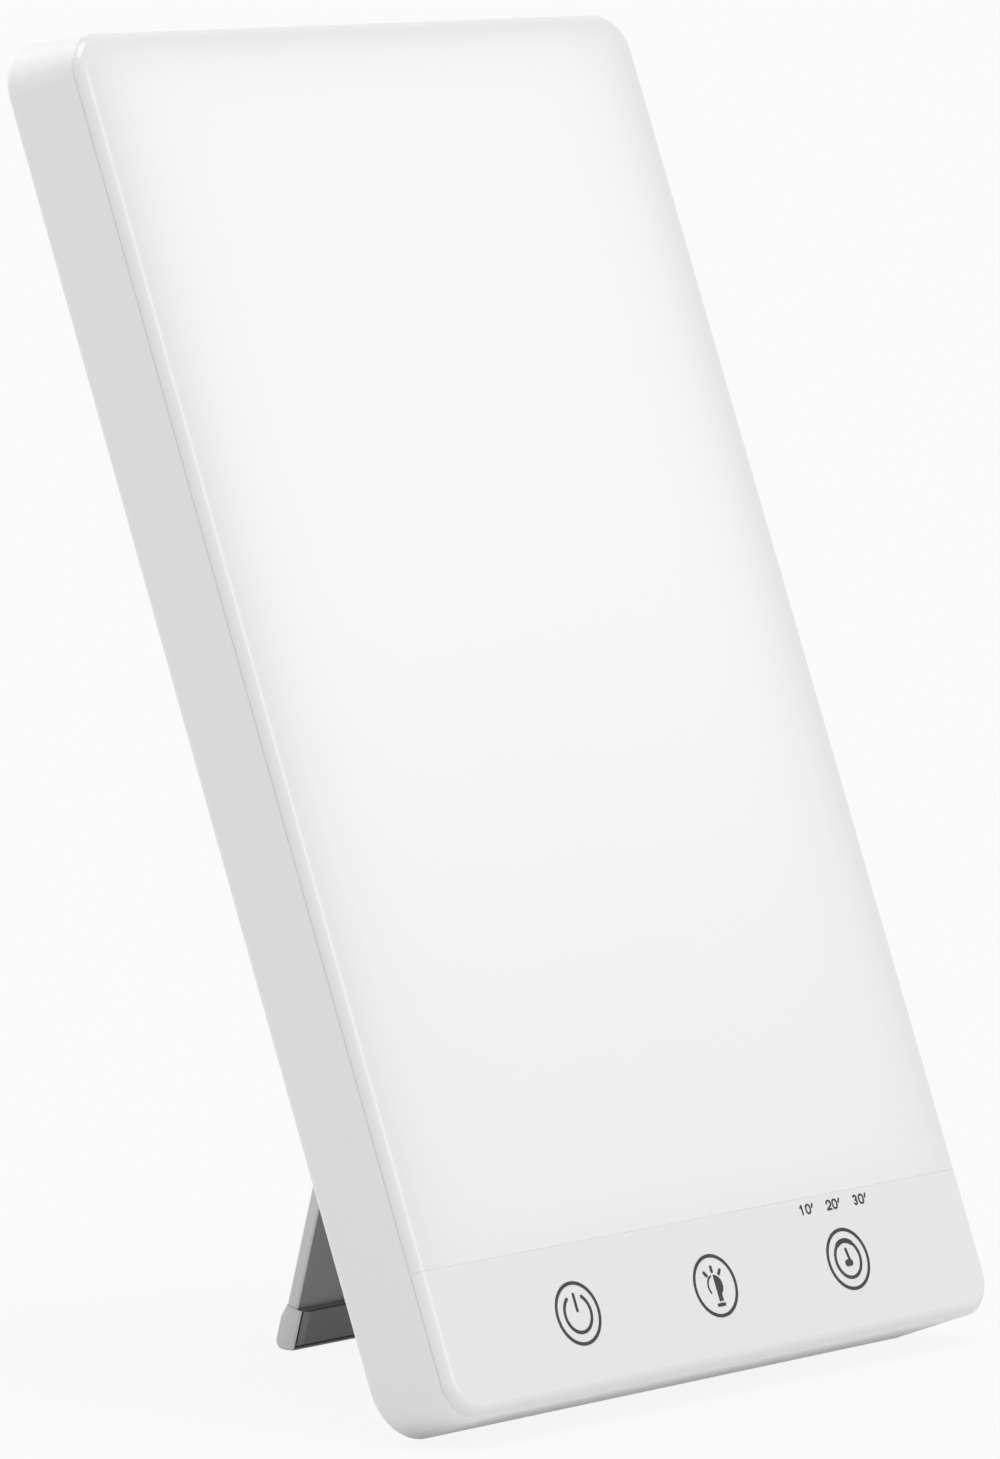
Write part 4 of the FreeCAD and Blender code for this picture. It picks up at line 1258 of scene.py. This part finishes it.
def add_sky(stage):
    """Even light from all round, behind a background of the floor's colour."""
    world = bpy.data.worlds.new("studio_sky")
    world.use_nodes = True
    bpy.context.scene.world = world
    sky = Shading(world.node_tree)
    even = sky.node("ShaderNodeBackground", grey(1.0), stage.sky_strength)
    ground = sky.node("ShaderNodeBackground", tuple(stage.floor_color), 1.0)
    sky.show(sky.node("ShaderNodeMixShader", sky.looked_at(), even, ground))


def add_far_light(name, level, turn, rise, width):
    """Far light: its level on white, and its turn from the front, rise and width in degrees."""
    turn = math.radians(turn)
    rise = math.radians(rise)
    away = Vector((-math.sin(turn) * math.cos(rise), -math.cos(turn) * math.cos(rise), math.sin(rise)))
    bpy.ops.object.light_add(type="SUN", location=away)
    light = bpy.context.object
    light.name = name
    light.rotation_euler = (-away).to_track_quat("-Z", "Y").to_euler()
    light.data.angle = math.radians(width)
    light.data.energy = level * math.pi


def add_camera(stage):
    """Camera to the left of the lit front, looking slightly down on the lamp."""
    ahead = Vector((math.sin(stage.camera_turn) * math.cos(stage.camera_drop),
                    math.cos(stage.camera_turn) * math.cos(stage.camera_drop),
                    -math.sin(stage.camera_drop)))
    turn = ahead.to_track_quat("-Z", "Y").to_euler()
    bpy.ops.object.camera_add(location=stage.camera_place, rotation=turn)
    camera = bpy.context.object
    camera.data.lens = stage.camera_lens
    camera.data.sensor_width = stage.sensor_width
    camera.data.clip_end = 100.0
    bpy.context.scene.camera = camera


class LAMP_OT_stage(LampOperator, bpy.types.Operator):
    """Set the lamp on a pale floor in plain soft light, with its camera"""
    bl_idname = "lamp.stage"
    bl_label = "Stage"

    def execute(self, context):
        """Makes the floor, the lights and the camera."""
        stage = context.scene.lamp_stage
        add_floor(stage)
        add_sky(stage)
        add_far_light("key_light", stage.key_strength, turn=-30, rise=26, width=22)
        add_far_light("top_light", stage.top_strength, turn=0, rise=78, width=32)
        add_far_light("back_light", stage.back_strength, turn=178, rise=20, width=50)
        add_camera(stage)
        context.scene.view_settings.view_transform = "Standard"
        return {"FINISHED"}


# ---------------------------------------------------------------- panel and registration

OPERATORS = (
    LAMP_OT_front_sheet, LAMP_OT_case, LAMP_OT_icons, LAMP_OT_light_box, LAMP_OT_control_board,
    LAMP_OT_fasteners, LAMP_OT_wiring, LAMP_OT_stand, LAMP_OT_stage,
)
SETTINGS = {"lamp_finishes": LampFinishes, "lamp_shapes": LampShapes, "lamp_stage": LampStage}


class LAMP_PT_sidebar(bpy.types.Panel):
    """Lists the lamp's steps and settings"""
    bl_idname = "LAMP_PT_sidebar"
    bl_label = "Light therapy lamp"
    bl_space_type = "VIEW_3D"
    bl_region_type = "UI"
    bl_category = "Lamp"

    def draw(self, context):
        """Lays out the buttons and the settings."""
        for operator in OPERATORS:
            self.layout.operator(operator.bl_idname)
        for group in [getattr(context.scene, name) for name in SETTINGS]:
            box = self.layout.box()
            for name in group.__annotations__:
                box.prop(group, name)


CLASSES = (*SETTINGS.values(), *OPERATORS, LAMP_PT_sidebar)


def register():
    """Registers the classes and the scene's settings."""
    for made in CLASSES:
        bpy.utils.register_class(made)
    for name, group in SETTINGS.items():
        setattr(bpy.types.Scene, name, PointerProperty(type=group))


def unregister():
    """Takes the settings and the classes away again."""
    for name in reversed(SETTINGS):
        delattr(bpy.types.Scene, name)
    for made in reversed(CLASSES):
        bpy.utils.unregister_class(made)


def main():
    """Finishes every piece and sets the stage."""
    register()
    for operator in OPERATORS:
        group, name = operator.bl_idname.split(".")
        getattr(getattr(bpy.ops, group), name)()


if __name__ == "__main__":
    main()
